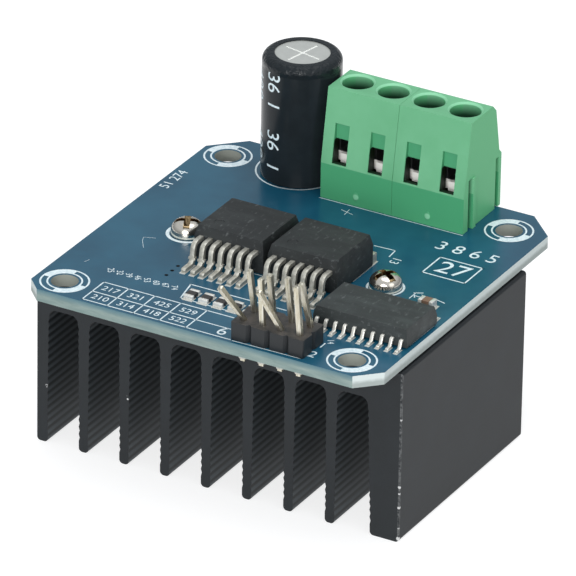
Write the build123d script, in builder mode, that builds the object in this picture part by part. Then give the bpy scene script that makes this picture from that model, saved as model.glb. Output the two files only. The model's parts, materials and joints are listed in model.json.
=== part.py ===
"""DC motor driver module: a square circuit board with a finned heatsink bolted under it.

Millimetres. The origin is the centre of the four mounting holes, on the underside of the board.
+Z points up through the components, -Y is the edge with the pin header, +Y the edge with the
screw terminals.
"""
from build123d import *
import os

# Board
board_width = 48.2
board_depth = 48.2
board_thickness = 1.6
board_offset_x = 0.5
board_offset_y = 0.8
corner_cut_front_left = 1.95
corner_cut_front_right = 2.8
corner_cut_back = 4.0
mount_hole_inset = 4.3
mount_hole_diameter = 3.4
land_thickness = 0.05
lead_hole_clearance = 0.15
via_diameter = 0.5
via_pitch = 1.4
via_count = 3
via_side_gap = 0.45
via_front_gap = 3.1

# Heatsink
heatsink_width = 50.5
heatsink_offset_x = -0.25
heatsink_front_inset = 6.6
heatsink_back_inset = 10.3
heatsink_height = 22.8
heatsink_base = 4.4
thermal_pad_thickness = 0.3
thermal_pad_inset = 1.2
fin_count = 8
fin_root_thickness = 1.7
fin_tip_thickness = 1.3
end_wall_root_thickness = 4.65
end_wall_tip_thickness = 3.95
end_wall_gap = 4.0
fin_root_radius = 1.0
fin_tip_radius = 0.5
heatsink_edge_radius = 0.4

# Screws that hold the heatsink
screw_diameter = 2.5
screw_head_diameter = 4.1
screw_head_height = 1.9
screw_head_rounding = 0.68
screw_recess_width = 0.75
screw_recess_length = 2.9
screw_recess_depth = 1.1
screw_recess_turn = 20
screw_thread_in_heatsink = 3.4
screw_left_gap = 3.85
screw_right_gap = 3.95
screw_behind_chip_front = 5.0
screw_hole_clearance = 0.15

# Half-bridge power chips
chip_pair_x = 0.25
chip_gap = 0.6
chip_length = 9.0
chip_height = 4.4
chip_front_inset = 17.1
chip_draft_angle = 14
chip_draft_height = 1.35
chip_standoff = 0.1
chip_notch_inset = 2.2
chip_notch_diameter = 1.3
chip_notch_depth = 0.1
tab_width = 9.2
tab_side_cover = 0.2
tab_reach = 1.3
tab_thickness = 1.25
power_lead_pitch = 1.27
power_lead_count = 7
power_lead_width = 0.6
power_lead_thickness = 0.5
power_lead_exit_height = 2.9
power_lead_shoulder = 1.8
power_lead_foot_reach = 4.4
power_lead_foot_length = 2.2
power_lead_bury = 0.4
power_lead_stub_width = 0.95
power_lead_stub_height = 0.3
power_lead_stub_drop = 1.7
power_bend_radius = 0.8
bend_radius = 0.25

# Signal buffer chip, 20 leads
buffer_chip_gap = 1.15
buffer_inset = 12.9
buffer_length = 12.8
buffer_width = 7.5
buffer_height = 2.35
buffer_standoff = 0.15
buffer_draft_angle = 12
buffer_lead_pitch = 1.27
buffer_lead_per_side = 10
buffer_lead_width = 0.42
buffer_lead_thickness = 0.25
buffer_lead_exit_height = 1.15
buffer_lead_reach = 1.45
buffer_lead_foot_length = 0.8

# Pin header, two rows of four
header_pitch = 2.54
header_columns = 4
header_right_inset = 14.85
header_front_inset = 3.25
header_height = 2.4
header_corner_cut = 0.15
header_notch_width = 0.8
header_end_trim = 0.12
pin_width = 0.64
pin_above_housing = 6.2
pin_below_board = 1.45
front_row_lean = ((-1.8, -2.9), (-0.3, -0.1), (-2.15, -1.95), (-0.8, 0.4))
back_row_lean = ((-0.1, -1.25), (0.0, -1.05), (-0.3, -0.7), (-0.85, -1.0))

# Screw terminals, two blocks of two poles
pole_pitch = 5.0
poles_per_block = 2
block_seam = 0.04
terminal_right_inset = 19.1
terminal_overhang = 0.65
terminal_depth = 9.65
terminal_height = 14.5
terminal_crease_height = 4.75
terminal_top_front_setback = 1.55
terminal_top_back_setback = 2.6
terminal_top_chamfer = 0.9
terminal_back_step_height = 7.2
terminal_back_step = 0.6
side_key_width = 0.8
side_key_depth = 0.45
side_key_height = 6.85
side_key_front_inset = 1.2
side_key_back_inset = 0.65
side_lip_width = 0.8
side_lip_depth = 0.25
side_key_clearance = 0.1
clamp_setback = 4.55
driver_bore_diameter = 3.9
driver_bore_flare = 0.25
shoulder_thickness = 0.5
cavity_width = 4.0
cavity_depth = 4.5
cavity_wall_to_top = 3.6
wire_slot_width = 2.0
wire_slot_bottom = 4.95
wire_slot_top = 10.15
wire_recess_depth = 0.4
wire_throat_height = 3.0
wire_wall_thickness = 0.8
wire_well_width = 2.6
wire_well_floor = 3.6
wire_well_overlap = 0.1

# Clamps inside the terminals
clamp_screw_diameter = 2.4
clamp_head_diameter = 3.6
clamp_head_height = 0.9
clamp_slot_width = 0.7
clamp_slot_depth = 0.45
clamp_slot_turn = 35
clamp_seat_clearance = 0.05
clamp_thread_clearance = 0.1
clamp_cap_clearance = 0.2
cage_width = 3.6
cage_depth = 3.3
cage_wall = 0.45
cage_floor = 1.3
cage_roof = 0.9
cage_window_height = 2.9
cage_travel = 1.5
cage_top_clearance = 0.2
tongue_width = 2.1
tongue_reach = 0.5
bar_thickness = 0.8
bar_width = 2.1
bar_gap_below_roof = 0.25
bar_front_clearance = 0.25
bar_pin_width = 1.0
bar_pin_depth = 0.8
bar_pin_below_board = 2.4
pin_channel_clearance = 0.2

# Electrolytic capacitor
capacitor_diameter = 10.0
capacitor_height = 16.5
capacitor_terminal_gap = 0.3
capacitor_back_inset = 4.5
sleeve_thickness = 0.15
sleeve_gap = 0.3
can_shoulder_radius = 0.9
bare_top_diameter = 6.9
can_wall = 0.4
bung_height = 2.4
bung_rise = 0.9
vent_width = 0.3
vent_depth = 0.15
vent_length = 5.4
vent_turn = -12
capacitor_lead_diameter = 0.6
capacitor_lead_pitch = 5.0
capacitor_lead_below_board = 2.2

# Chip resistors and the ceramic capacitor
resistor_count = 6
resistor_pitch = 2.03
resistor_first_x = -4.65
resistor_inset = 7.9
passive_length = 2.0
passive_width = 1.25
resistor_height = 0.5
passive_end = 0.5
ceramic_beside_buffer = 3.1
ceramic_behind_buffer = 7.4
ceramic_height = 0.95

# Solder
solder_cone_height = 1.0
solder_cone_root = 1.0
solder_cone_tip = 0.5
land_margin = 0.3

# Places worked out from the sizes above
board_top = board_thickness
land_top = board_top + land_thickness
board_left = board_offset_x - board_width / 2
board_right = board_left + board_width
board_front = board_offset_y - board_depth / 2
board_back = board_front + board_depth
mount_pitch_x = board_width - 2 * mount_hole_inset
mount_pitch_y = board_depth - 2 * mount_hole_inset
heatsink_top = -thermal_pad_thickness
heatsink_front_y = board_front + heatsink_front_inset
heatsink_length = board_depth - heatsink_front_inset - heatsink_back_inset
heatsink_mid_y = heatsink_front_y + heatsink_length / 2
fin_span = heatsink_width - end_wall_root_thickness - end_wall_gap - fin_root_thickness
fin_pitch = fin_span / (fin_count - 1)
chip_width = tab_width + 2 * tab_side_cover
chip_front_y = board_front + chip_front_inset
chip_left_x = chip_pair_x - (chip_width + chip_gap) / 2
chip_right_x = chip_pair_x + (chip_width + chip_gap) / 2
screw_left_x = chip_left_x - chip_width / 2 - screw_left_gap
screw_right_x = chip_right_x + chip_width / 2 + screw_right_gap
screw_y = chip_front_y + screw_behind_chip_front
screw_spots = [(screw_left_x, screw_y), (screw_right_x, screw_y)]
via_x = chip_left_x - chip_width / 2 - via_side_gap
via_spots = [(via_x, chip_front_y - via_front_gap - i * via_pitch) for i in range(via_count)]
buffer_x = chip_right_x + chip_width / 2 + buffer_chip_gap + buffer_length / 2
buffer_y = board_front + buffer_inset
header_x = board_right - header_right_inset
header_y = board_front + header_front_inset
terminal_x = board_right - terminal_right_inset
terminal_front_y = board_back + terminal_overhang - terminal_depth
pole_count = 2 * poles_per_block
pole_x = [terminal_x + (i - (pole_count - 1) / 2) * pole_pitch for i in range(pole_count)]
clamp_y = terminal_front_y + clamp_setback
bore_floor = board_top + terminal_height - cavity_wall_to_top + shoulder_thickness
cavity_top = bore_floor - shoulder_thickness
cage_height = cage_floor + cage_window_height + cage_roof
cage_bottom = cavity_top - cage_top_clearance - cage_travel - cage_height
cage_roof_bottom = cage_bottom + cage_floor + cage_window_height
bar_top = cage_roof_bottom - bar_gap_below_roof
bar_bottom = bar_top - bar_thickness
bar_front_y = clamp_y - cavity_depth / 2 + bar_front_clearance
bar_pin_y = clamp_y + cavity_depth / 2 + pin_channel_clearance + bar_pin_depth / 2
header_row_y = [header_y - header_pitch / 2, header_y + header_pitch / 2]
header_column_x = [header_x + (i - (header_columns - 1) / 2) * header_pitch for i in range(header_columns)]
header_spots = [(x, y) for y in header_row_y for x in header_column_x]
header_half_width = header_columns * header_pitch / 2 - header_end_trim
header_seam_x = [header_x + (i - header_columns / 2) * header_pitch for i in range(1, header_columns)]
header_notch_spots = [(x, header_y + s * header_pitch) for x in header_seam_x for s in (-1, 1)]
header_notch_spots += [(header_x + s * header_half_width, header_y) for s in (-1, 1)]
header_notch_side = header_notch_width / 2**0.5
bar_pin_spots = [(x, bar_pin_y) for x in pole_x]
capacitor_x = terminal_x - pole_count * pole_pitch / 2 - capacitor_terminal_gap - capacitor_diameter / 2
capacitor_y = board_back - capacitor_back_inset
capacitor_lead_spots = [(capacitor_x + s * capacitor_lead_pitch / 2, capacitor_y) for s in (-1, 1)]
resistor_y = board_front + resistor_inset
ceramic_x = buffer_x + ceramic_beside_buffer
ceramic_y = buffer_y + ceramic_behind_buffer
resistor_spots = [(resistor_first_x + i * resistor_pitch, resistor_y) for i in range(resistor_count)]
passive_end_shift = (passive_length - passive_end) / 2

os.makedirs("parts", exist_ok=True)


def save(part, name):
    """Label a finished piece and write it under the same name."""
    part.label = name
    export_step(part, f"parts/{name}.step")


# Circuit board with its corner cuts and every drilled hole
with BuildPart() as circuit_board:
    with BuildSketch():
        with BuildLine():
            Polyline(
                (board_left + corner_cut_front_left, board_front),
                (board_right - corner_cut_front_right, board_front),
                (board_right, board_front + corner_cut_front_right),
                (board_right, board_back - corner_cut_back),
                (board_right - corner_cut_back, board_back),
                (board_left + corner_cut_back, board_back),
                (board_left, board_back - corner_cut_back),
                (board_left, board_front + corner_cut_front_left),
                close=True,
            )
        make_face()
        with GridLocations(mount_pitch_x, mount_pitch_y, 2, 2):
            Circle(mount_hole_diameter / 2, mode=Mode.SUBTRACT)
        with Locations(*screw_spots):
            Circle(screw_diameter / 2 + screw_hole_clearance, mode=Mode.SUBTRACT)
        with Locations(*header_spots):
            Circle(pin_width / 2 + 2 * lead_hole_clearance, mode=Mode.SUBTRACT)
        with Locations(*bar_pin_spots):
            Circle(bar_pin_width / 2 + 2 * lead_hole_clearance, mode=Mode.SUBTRACT)
        with Locations(*capacitor_lead_spots):
            Circle(capacitor_lead_diameter / 2 + lead_hole_clearance, mode=Mode.SUBTRACT)
        with Locations(*via_spots):
            Circle(via_diameter / 2, mode=Mode.SUBTRACT)
    extrude(amount=board_thickness)
save(circuit_board.part, "circuit_board")


# Heatsink: a finned profile in XZ, extruded along Y
def fin_outline():
    """Points of the finned profile, from the top left corner round to the top right one."""
    bottom = heatsink_top - heatsink_height
    root = heatsink_top - heatsink_base
    left = heatsink_offset_x - heatsink_width / 2
    right = heatsink_offset_x + heatsink_width / 2
    taper = (fin_root_thickness - fin_tip_thickness) / 2
    points = [(left, heatsink_top), (left, bottom)]
    for i in range(fin_count):
        edge = left + i * fin_pitch
        if i > 0:
            points += [(edge, root), (edge + taper, bottom)]
        points += [(edge + fin_root_thickness - taper, bottom), (edge + fin_root_thickness, root)]
    points += [(right - end_wall_root_thickness, root), (right - end_wall_tip_thickness, bottom)]
    points += [(right, bottom), (right, heatsink_top)]
    return points


with BuildPart() as heatsink:
    with BuildSketch(Plane.XZ.offset(-heatsink_front_y)) as fins:
        with BuildLine():
            Polyline(*fin_outline(), close=True)
        make_face()
        fillet(fins.vertices().group_by(Axis.Y)[0], fin_tip_radius)
        fillet(fins.vertices().group_by(Axis.Y)[-1], heatsink_edge_radius)
        root_low = heatsink_top - heatsink_base - fin_root_radius / 2
        root_high = heatsink_top - heatsink_base + fin_root_radius / 2
        fillet(fins.vertices().filter_by_position(Axis.Y, root_low, root_high), fin_root_radius)
    extrude(amount=-heatsink_length)
    with Locations(*[(x, y, heatsink_top) for x, y in screw_spots]):
        Hole(screw_diameter / 2, depth=screw_thread_in_heatsink + screw_hole_clearance)
save(heatsink.part, "heatsink")

# Thin pad between the heatsink and the board
with BuildPart() as thermal_pad:
    with BuildSketch(Plane.XY.offset(heatsink_top)):
        with Locations((board_offset_x, heatsink_mid_y)):
            Rectangle(board_width - 2 * thermal_pad_inset, heatsink_length - 2 * thermal_pad_inset)
        with Locations(*screw_spots):
            Circle(screw_diameter / 2 + screw_hole_clearance, mode=Mode.SUBTRACT)
    extrude(amount=thermal_pad_thickness)
save(thermal_pad.part, "thermal_pad")


def heatsink_screw(x, y):
    """Pan head screw with a crossed recess, from the board's top down into the heatsink."""
    with BuildPart() as screw:
        with BuildSketch(Plane.XY.offset(heatsink_top - screw_thread_in_heatsink)):
            with Locations((x, y)):
                Circle(screw_diameter / 2)
        extrude(amount=board_top - heatsink_top + screw_thread_in_heatsink)
        with BuildSketch(Plane.XY.offset(board_top)):
            with Locations((x, y)):
                Circle(screw_head_diameter / 2)
        extrude(amount=screw_head_height)
        fillet(screw.edges().group_by(Axis.Z)[-1], screw_head_rounding)
        with BuildSketch(Plane.XY.offset(board_top + screw_head_height)):
            with Locations((x, y)):
                Rectangle(screw_recess_length, screw_recess_width, rotation=screw_recess_turn)
                Rectangle(screw_recess_width, screw_recess_length, rotation=screw_recess_turn)
        extrude(amount=-screw_recess_depth, mode=Mode.SUBTRACT)
    return screw.part


save(heatsink_screw(screw_left_x, screw_y), "heatsink_screw_left")
save(heatsink_screw(screw_right_x, screw_y), "heatsink_screw_right")


def lead_path(start, shoulder, foot_start, tip, exit_z, foot_z, radius):
    """Centre line of a gull-wing lead in the YZ plane, rounded at its two bends."""
    FilletPolyline(
        (start, exit_z),
        (shoulder, exit_z),
        (foot_start, foot_z),
        (tip, foot_z),
        radius=radius,
    )


def gull_wing(x, edge_y, out, bury, shoulder, reach, foot, width, thickness, exit_height, radius):
    """One formed lead at x, leaving the body at edge_y in the direction out (-1 front, +1 back)."""
    with BuildPart() as lead:
        with BuildSketch(Plane.YZ.offset(x - width / 2)) as side:
            with BuildLine() as centre:
                lead_path(
                    edge_y - out * (bury - thickness / 2),
                    edge_y + out * shoulder,
                    edge_y + out * (reach - foot),
                    edge_y + out * (reach - thickness / 2),
                    board_top + exit_height,
                    land_top + thickness / 2,
                    radius,
                )
                offset(amount=thickness / 2, side=Side.BOTH)
            make_face()
        extrude(amount=width)
    return lead.part


def chip_body(x, name):
    """Moulded body of a power chip, with drafted sides and a round mark by its first lead."""
    with BuildPart() as body:
        with BuildSketch(Plane.XY.offset(land_top + chip_standoff)):
            with Locations((x, chip_front_y + chip_length / 2)):
                Rectangle(chip_width, chip_length)
        extrude(amount=chip_height - chip_standoff - land_thickness - chip_draft_height)
        extrude(body.faces().sort_by(Axis.Z)[-1], amount=chip_draft_height, taper=chip_draft_angle)
        mark_x = x - chip_width / 2 + chip_notch_inset
        mark_y = chip_front_y + chip_notch_inset
        with Locations((mark_x, mark_y, board_top + chip_height)):
            Hole(chip_notch_diameter / 2, depth=chip_notch_depth)
        with BuildSketch(Plane.XY.offset(land_top)):
            with Locations((x, chip_front_y + chip_length - tab_width / 4)):
                Rectangle(tab_width, tab_width / 2)
        extrude(amount=tab_thickness, mode=Mode.SUBTRACT)
        for i in range(power_lead_count):
            lead_x = x + (i - (power_lead_count - 1) / 2) * power_lead_pitch
            with BuildSketch(Plane.XZ.offset(-chip_front_y)):
                with Locations((lead_x, board_top + power_lead_exit_height)):
                    Rectangle(power_lead_width, power_lead_thickness)
            extrude(amount=-power_lead_bury, mode=Mode.SUBTRACT)
    save(body.part, name)


def chip_tab(x, name):
    """Tinned metal tab under the back half of a power chip."""
    with BuildPart() as tab:
        with BuildSketch(Plane.XY.offset(land_top)):
            with Locations((x, chip_front_y + chip_length - tab_width / 4)):
                Rectangle(tab_width, tab_width / 2)
        extrude(amount=tab_thickness)
        with BuildSketch(Plane.XY.offset(land_top)):
            with Locations((x, chip_front_y + chip_length + tab_reach / 2)):
                Rectangle(tab_width, tab_reach)
        extrude(amount=tab_thickness)
    save(tab.part, name)


def power_lead(x, width):
    """One formed lead of a power chip, as wide as given."""
    return gull_wing(
        x,
        chip_front_y,
        -1,
        power_lead_bury,
        power_lead_shoulder,
        power_lead_foot_reach,
        power_lead_foot_length,
        width,
        power_lead_thickness,
        power_lead_exit_height,
        power_bend_radius,
    )


def chip_leads(x, name):
    """Row of seven formed leads along the front of a power chip, with sheared stubs on their sides."""
    stub_top = board_top + power_lead_exit_height - power_lead_stub_drop
    with BuildPart() as leads:
        for i in range(power_lead_count):
            lead_x = x + (i - (power_lead_count - 1) / 2) * power_lead_pitch
            add(power_lead(lead_x, power_lead_width))
            with BuildPart(mode=Mode.PRIVATE) as stub:
                add(power_lead(lead_x, power_lead_stub_width))
                with Locations((lead_x, chip_front_y, stub_top)):
                    Box(
                        power_lead_stub_width,
                        power_lead_foot_reach,
                        power_lead_stub_height,
                        align=(Align.CENTER, Align.MAX, Align.MAX),
                        mode=Mode.INTERSECT,
                    )
            add(stub.part)
    save(leads.part, name)


for chip_name, chip_x in (("bridge_left", chip_left_x), ("bridge_right", chip_right_x)):
    chip_body(chip_x, chip_name + "_body")
    chip_tab(chip_x, chip_name + "_tab")
    chip_leads(chip_x, chip_name + "_leads")

# Signal buffer chip: body, then its two rows of leads
buffer_lead_x = [
    buffer_x + (i - (buffer_lead_per_side - 1) / 2) * buffer_lead_pitch for i in range(buffer_lead_per_side)
]
with BuildPart() as buffer_body:
    with BuildSketch(Plane.XY.offset(land_top + buffer_standoff)):
        with Locations((buffer_x, buffer_y)):
            Rectangle(buffer_length, buffer_width)
    extrude(amount=buffer_height / 2)
    extrude(buffer_body.faces().sort_by(Axis.Z)[-1], amount=buffer_height / 2, taper=buffer_draft_angle)
    for side in (-1, 1):
        with BuildSketch(Plane.XZ.offset(-buffer_y - side * buffer_width / 2)):
            with Locations(*[(x, board_top + buffer_lead_exit_height) for x in buffer_lead_x]):
                Rectangle(buffer_lead_width, buffer_lead_thickness)
        extrude(amount=side * power_lead_bury, mode=Mode.SUBTRACT)
save(buffer_body.part, "buffer_body")

with BuildPart() as buffer_leads:
    for side in (-1, 1):
        for x in buffer_lead_x:
            add(
                gull_wing(
                    x,
                    buffer_y + side * buffer_width / 2,
                    side,
                    power_lead_bury,
                    bend_radius,
                    buffer_lead_reach,
                    buffer_lead_foot_length,
                    buffer_lead_width,
                    buffer_lead_thickness,
                    buffer_lead_exit_height,
                    bend_radius,
                )
            )
save(buffer_leads.part, "buffer_leads")

# Pin header housing, notched between its cells
with BuildPart() as header_housing:
    with BuildSketch(Plane.XY.offset(board_top)) as cells:
        with Locations((header_x, header_y)):
            Rectangle(2 * header_half_width, 2 * header_pitch)
        chamfer(cells.vertices(), header_corner_cut)
        with Locations(*header_notch_spots):
            Rectangle(header_notch_side, header_notch_side, rotation=45, mode=Mode.SUBTRACT)
        with Locations(*header_spots):
            Rectangle(pin_width, pin_width, mode=Mode.SUBTRACT)
    extrude(amount=header_height)
save(header_housing.part, "header_housing")


def header_pin(x, y, lean):
    """Square pin, upright through the board and housing, leaning above it as bent in use."""
    rise = (pin_above_housing**2 - lean[0] ** 2 - lean[1] ** 2) ** 0.5
    neck_z = board_top + header_height
    tip = Plane(origin=(x + lean[0], y + lean[1], neck_z + rise), x_dir=(1, 0, 0), z_dir=(*lean, rise))
    with BuildPart() as pin:
        with BuildSketch(Plane.XY.offset(-pin_below_board)):
            with Locations((x, y)):
                Rectangle(pin_width, pin_width)
        extrude(amount=pin_below_board + neck_z)
        with BuildSketch(Plane.XY.offset(neck_z)):
            with Locations((x, y)):
                Rectangle(pin_width, pin_width)
        with BuildSketch(tip):
            Rectangle(pin_width, pin_width)
        loft()
        chamfer(pin.faces().sort_by(Axis.Z)[-1].edges(), pin_width / 4)
    return pin.part


with BuildPart() as header_pins:
    for row, leans in zip(header_row_y, (front_row_lean, back_row_lean)):
        for x, lean in zip(header_column_x, leans):
            add(header_pin(x, row, lean))
save(header_pins.part, "header_pins")


# Screw terminal housings: a side profile in YZ, extruded along X, then hollowed pole by pole
def terminal_housing(block, name):
    """One two-pole block; block 0 is the left one."""
    width = poles_per_block * pole_pitch - block_seam
    left = terminal_x - pole_count * pole_pitch / 2 + block * poles_per_block * pole_pitch + block_seam / 2
    front = terminal_front_y
    back = front + terminal_depth
    top = board_top + terminal_height
    poles = pole_x[block * poles_per_block : (block + 1) * poles_per_block]
    with BuildPart() as housing:
        with BuildSketch(Plane.YZ.offset(left)):
            with BuildLine():
                Polyline(
                    (front, board_top),
                    (front, board_top + terminal_crease_height),
                    (front + terminal_top_front_setback, top),
                    (back - terminal_top_back_setback, top),
                    (back - terminal_top_back_setback + terminal_top_chamfer, top - terminal_top_chamfer),
                    (back - terminal_back_step, board_top + terminal_back_step_height + terminal_back_step),
                    (back, board_top + terminal_back_step_height),
                    (back, board_top),
                    close=True,
                )
            make_face()
        extrude(amount=width)
        # Driver bores with a flared mouth
        with Locations(*[(x, clamp_y, top) for x in poles]):
            Hole(driver_bore_diameter / 2, depth=top - bore_floor)
            Hole(clamp_screw_diameter / 2 + clamp_cap_clearance, depth=top - cavity_top)
        mouth = housing.edges().filter_by(GeomType.CIRCLE).group_by(Axis.Z)[-1]
        chamfer(mouth, driver_bore_flare)
        # Clamp cavities, open downwards, with a channel for the solder pin behind
        with BuildSketch(Plane.XY.offset(board_top)):
            with Locations(*[(x, clamp_y) for x in poles]):
                Rectangle(cavity_width, cavity_depth)
        extrude(amount=cavity_top - board_top, mode=Mode.SUBTRACT)
        channel = bar_pin_depth + 2 * pin_channel_clearance
        with BuildSketch(Plane.XY.offset(board_top)):
            with Locations(*[(x, clamp_y + cavity_depth / 2 + channel / 2) for x in poles]):
                Rectangle(bar_width + 2 * pin_channel_clearance, channel)
        extrude(amount=bar_top - board_top + pin_channel_clearance, mode=Mode.SUBTRACT)
        # Wire entries: a tall shallow recess whose lower part runs through to a well and the clamp
        slot_mid = board_top + (wire_slot_bottom + wire_slot_top) / 2
        slot_slope = terminal_top_front_setback / (terminal_height - terminal_crease_height)
        slot_setback = (wire_slot_top - terminal_crease_height) * slot_slope
        with BuildSketch(Plane.XZ.offset(-front)):
            with Locations(*[(x, slot_mid) for x in poles]):
                Rectangle(wire_slot_width, wire_slot_top - wire_slot_bottom)
        extrude(amount=-(slot_setback + wire_recess_depth), mode=Mode.SUBTRACT)
        with BuildSketch(Plane.XZ.offset(-front)):
            with Locations(*[(x, board_top + wire_slot_bottom + wire_throat_height / 2) for x in poles]):
                Rectangle(wire_slot_width, wire_throat_height)
        extrude(amount=-(clamp_setback - cavity_depth / 2 + bar_front_clearance), mode=Mode.SUBTRACT)
        well_front = front + wire_wall_thickness
        well_back = clamp_y - cavity_depth / 2 + wire_well_overlap
        with BuildSketch(Plane.XY.offset(board_top + wire_well_floor)):
            with Locations(*[(x, (well_front + well_back) / 2) for x in poles]):
                Rectangle(wire_well_width, well_back - well_front)
        extrude(amount=wire_slot_bottom + wire_throat_height - wire_well_floor, mode=Mode.SUBTRACT)
        # Keys that join blocks side by side: ribs on the free left side, grooves on the free right one
        front_key_y = front + side_key_front_inset + side_key_width / 2
        back_key_y = back - side_key_back_inset - side_key_width / 2
        with BuildSketch(Plane.XY.offset(board_top)):
            if block == 0:
                with Locations((left - side_key_depth / 2, front_key_y), (left - side_key_depth / 2, back_key_y)):
                    Rectangle(side_key_depth, side_key_width - side_key_clearance)
            else:
                with Locations((left + width, front_key_y), (left + width, back_key_y)):
                    Rectangle(2 * side_key_depth, side_key_width)
        extrude(amount=side_key_height, mode=Mode.ADD if block == 0 else Mode.SUBTRACT)
        if block == 1:
            lip_y = front_key_y + (side_key_width + side_lip_width) / 2
            with BuildSketch(Plane.XY.offset(board_top)):
                with Locations((left + width + side_lip_depth / 2, lip_y)):
                    Rectangle(side_lip_depth, side_lip_width)
            extrude(amount=side_key_height)
    save(housing.part, name)


terminal_housing(0, "terminal_housing_left")
terminal_housing(1, "terminal_housing_right")


def clamp_screw(x):
    """Slotted clamp screw, its head seated on the shoulder of the driver bore."""
    with BuildPart() as screw:
        with BuildSketch(Plane.XY.offset(bar_top + clamp_seat_clearance)):
            with Locations((x, clamp_y)):
                Circle(clamp_screw_diameter / 2)
        extrude(amount=bore_floor - bar_top)
        with BuildSketch(Plane.XY.offset(bore_floor + clamp_seat_clearance)):
            with Locations((x, clamp_y)):
                Circle(clamp_head_diameter / 2)
        extrude(amount=clamp_head_height)
        with BuildSketch(Plane.XY.offset(bore_floor + clamp_seat_clearance + clamp_head_height)):
            with Locations((x, clamp_y)):
                Rectangle(2 * clamp_head_diameter, clamp_slot_width, rotation=clamp_slot_turn)
        extrude(amount=-clamp_slot_depth, mode=Mode.SUBTRACT)
    return screw.part


def clamp_cage(x):
    """Rising cage: open to the front and back, threaded roof, floor with a tongue under the wire."""
    with BuildPart() as cage:
        with BuildSketch(Plane.XY.offset(cage_bottom)):
            with Locations((x, clamp_y)):
                Rectangle(cage_width, cage_depth)
        extrude(amount=cage_height)
        with BuildSketch(Plane.XY.offset(cage_bottom)):
            with Locations((x, clamp_y - cage_depth / 2 - tongue_reach / 2)):
                Rectangle(tongue_width, tongue_reach)
        extrude(amount=cage_floor)
        with BuildSketch(Plane.XY.offset(cage_bottom + cage_floor)):
            with Locations((x, clamp_y)):
                Rectangle(cage_width - 2 * cage_wall, 2 * cage_depth)
        extrude(amount=cage_window_height, mode=Mode.SUBTRACT)
        with Locations((x, clamp_y, cage_bottom + cage_height)):
            Hole(clamp_screw_diameter / 2 + clamp_thread_clearance, depth=cage_roof)
    return cage.part


for pole, x in enumerate(pole_x, start=1):
    save(clamp_screw(x), f"clamp_screw_{pole}")
    save(clamp_cage(x), f"clamp_cage_{pole}")

# Current bars: a flat bar through each cage and a pin down through the board
with BuildPart() as contact_bars:
    bar_length = bar_pin_y + bar_pin_depth / 2 - bar_front_y
    with BuildSketch(Plane.XY.offset(bar_bottom)):
        with Locations(*[(x, bar_front_y + bar_length / 2) for x in pole_x]):
            Rectangle(bar_width, bar_length)
    extrude(amount=bar_thickness)
    with BuildSketch(Plane.XY.offset(-bar_pin_below_board)):
        with Locations(*bar_pin_spots):
            Rectangle(bar_pin_width, bar_pin_depth)
    extrude(amount=bar_bottom + bar_pin_below_board)
save(contact_bars.part, "contact_bars")

# Electrolytic capacitor: can, sleeve, rubber bung and leads, all turned about one axis
capacitor_axis = Axis((capacitor_x, capacitor_y, 0), (0, 0, 1))
capacitor_base = board_top + sleeve_gap
can_radius = capacitor_diameter / 2 - sleeve_thickness
can_top = board_top + capacitor_height
shoulder_base = can_top - can_shoulder_radius
can_inner_radius = can_radius - can_wall
bung_top = capacitor_base + bung_rise + bung_height
bare_radius = bare_top_diameter / 2
shoulder_root = can_radius - can_shoulder_radius
section = Plane((capacitor_x, capacitor_y, 0), x_dir=(1, 0, 0), z_dir=(0, -1, 0))

with BuildPart() as capacitor_can:
    with BuildSketch(section):
        with BuildLine():
            Polyline((0, bung_top), (0, can_top), (shoulder_root, can_top))
            RadiusArc((shoulder_root, can_top), (can_radius, shoulder_base), can_shoulder_radius)
            Polyline(
                (can_radius, shoulder_base),
                (can_radius, capacitor_base),
                (can_inner_radius, capacitor_base),
                (can_inner_radius, bung_top),
                (0, bung_top),
            )
        make_face()
    revolve(axis=capacitor_axis)
    with BuildSketch(Plane.XY.offset(can_top)):
        with Locations((capacitor_x, capacitor_y)):
            Rectangle(vent_length, vent_width, rotation=vent_turn)
            Rectangle(vent_width, vent_length, rotation=vent_turn)
    extrude(amount=-vent_depth, mode=Mode.SUBTRACT)
save(capacitor_can.part, "capacitor_can")

with BuildPart() as capacitor_sleeve:
    outer_radius = capacitor_diameter / 2
    lip_top = can_top + sleeve_thickness
    with BuildSketch(section):
        with BuildLine():
            Line((can_radius, capacitor_base), (outer_radius, capacitor_base))
            Line((outer_radius, capacitor_base), (outer_radius, shoulder_base))
            RadiusArc(
                (outer_radius, shoulder_base),
                (shoulder_root, lip_top),
                -(can_shoulder_radius + sleeve_thickness),
            )
            Line((shoulder_root, lip_top), (bare_radius, lip_top))
            Line((bare_radius, lip_top), (bare_radius, can_top))
            Line((bare_radius, can_top), (shoulder_root, can_top))
            RadiusArc((shoulder_root, can_top), (can_radius, shoulder_base), can_shoulder_radius)
            Line((can_radius, shoulder_base), (can_radius, capacitor_base))
        make_face()
    revolve(axis=capacitor_axis)
save(capacitor_sleeve.part, "capacitor_sleeve")

with BuildPart() as capacitor_bung:
    with BuildSketch(Plane.XY.offset(capacitor_base + bung_rise)):
        with Locations((capacitor_x, capacitor_y)):
            Circle(can_inner_radius)
        with Locations(*capacitor_lead_spots):
            Circle(capacitor_lead_diameter / 2, mode=Mode.SUBTRACT)
    extrude(amount=bung_height)
save(capacitor_bung.part, "capacitor_bung")

with BuildPart() as capacitor_leads:
    with BuildSketch(Plane.XY.offset(-capacitor_lead_below_board)):
        with Locations(*capacitor_lead_spots):
            Circle(capacitor_lead_diameter / 2)
    extrude(amount=bung_top + capacitor_lead_below_board)
save(capacitor_leads.part, "capacitor_leads")


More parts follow.
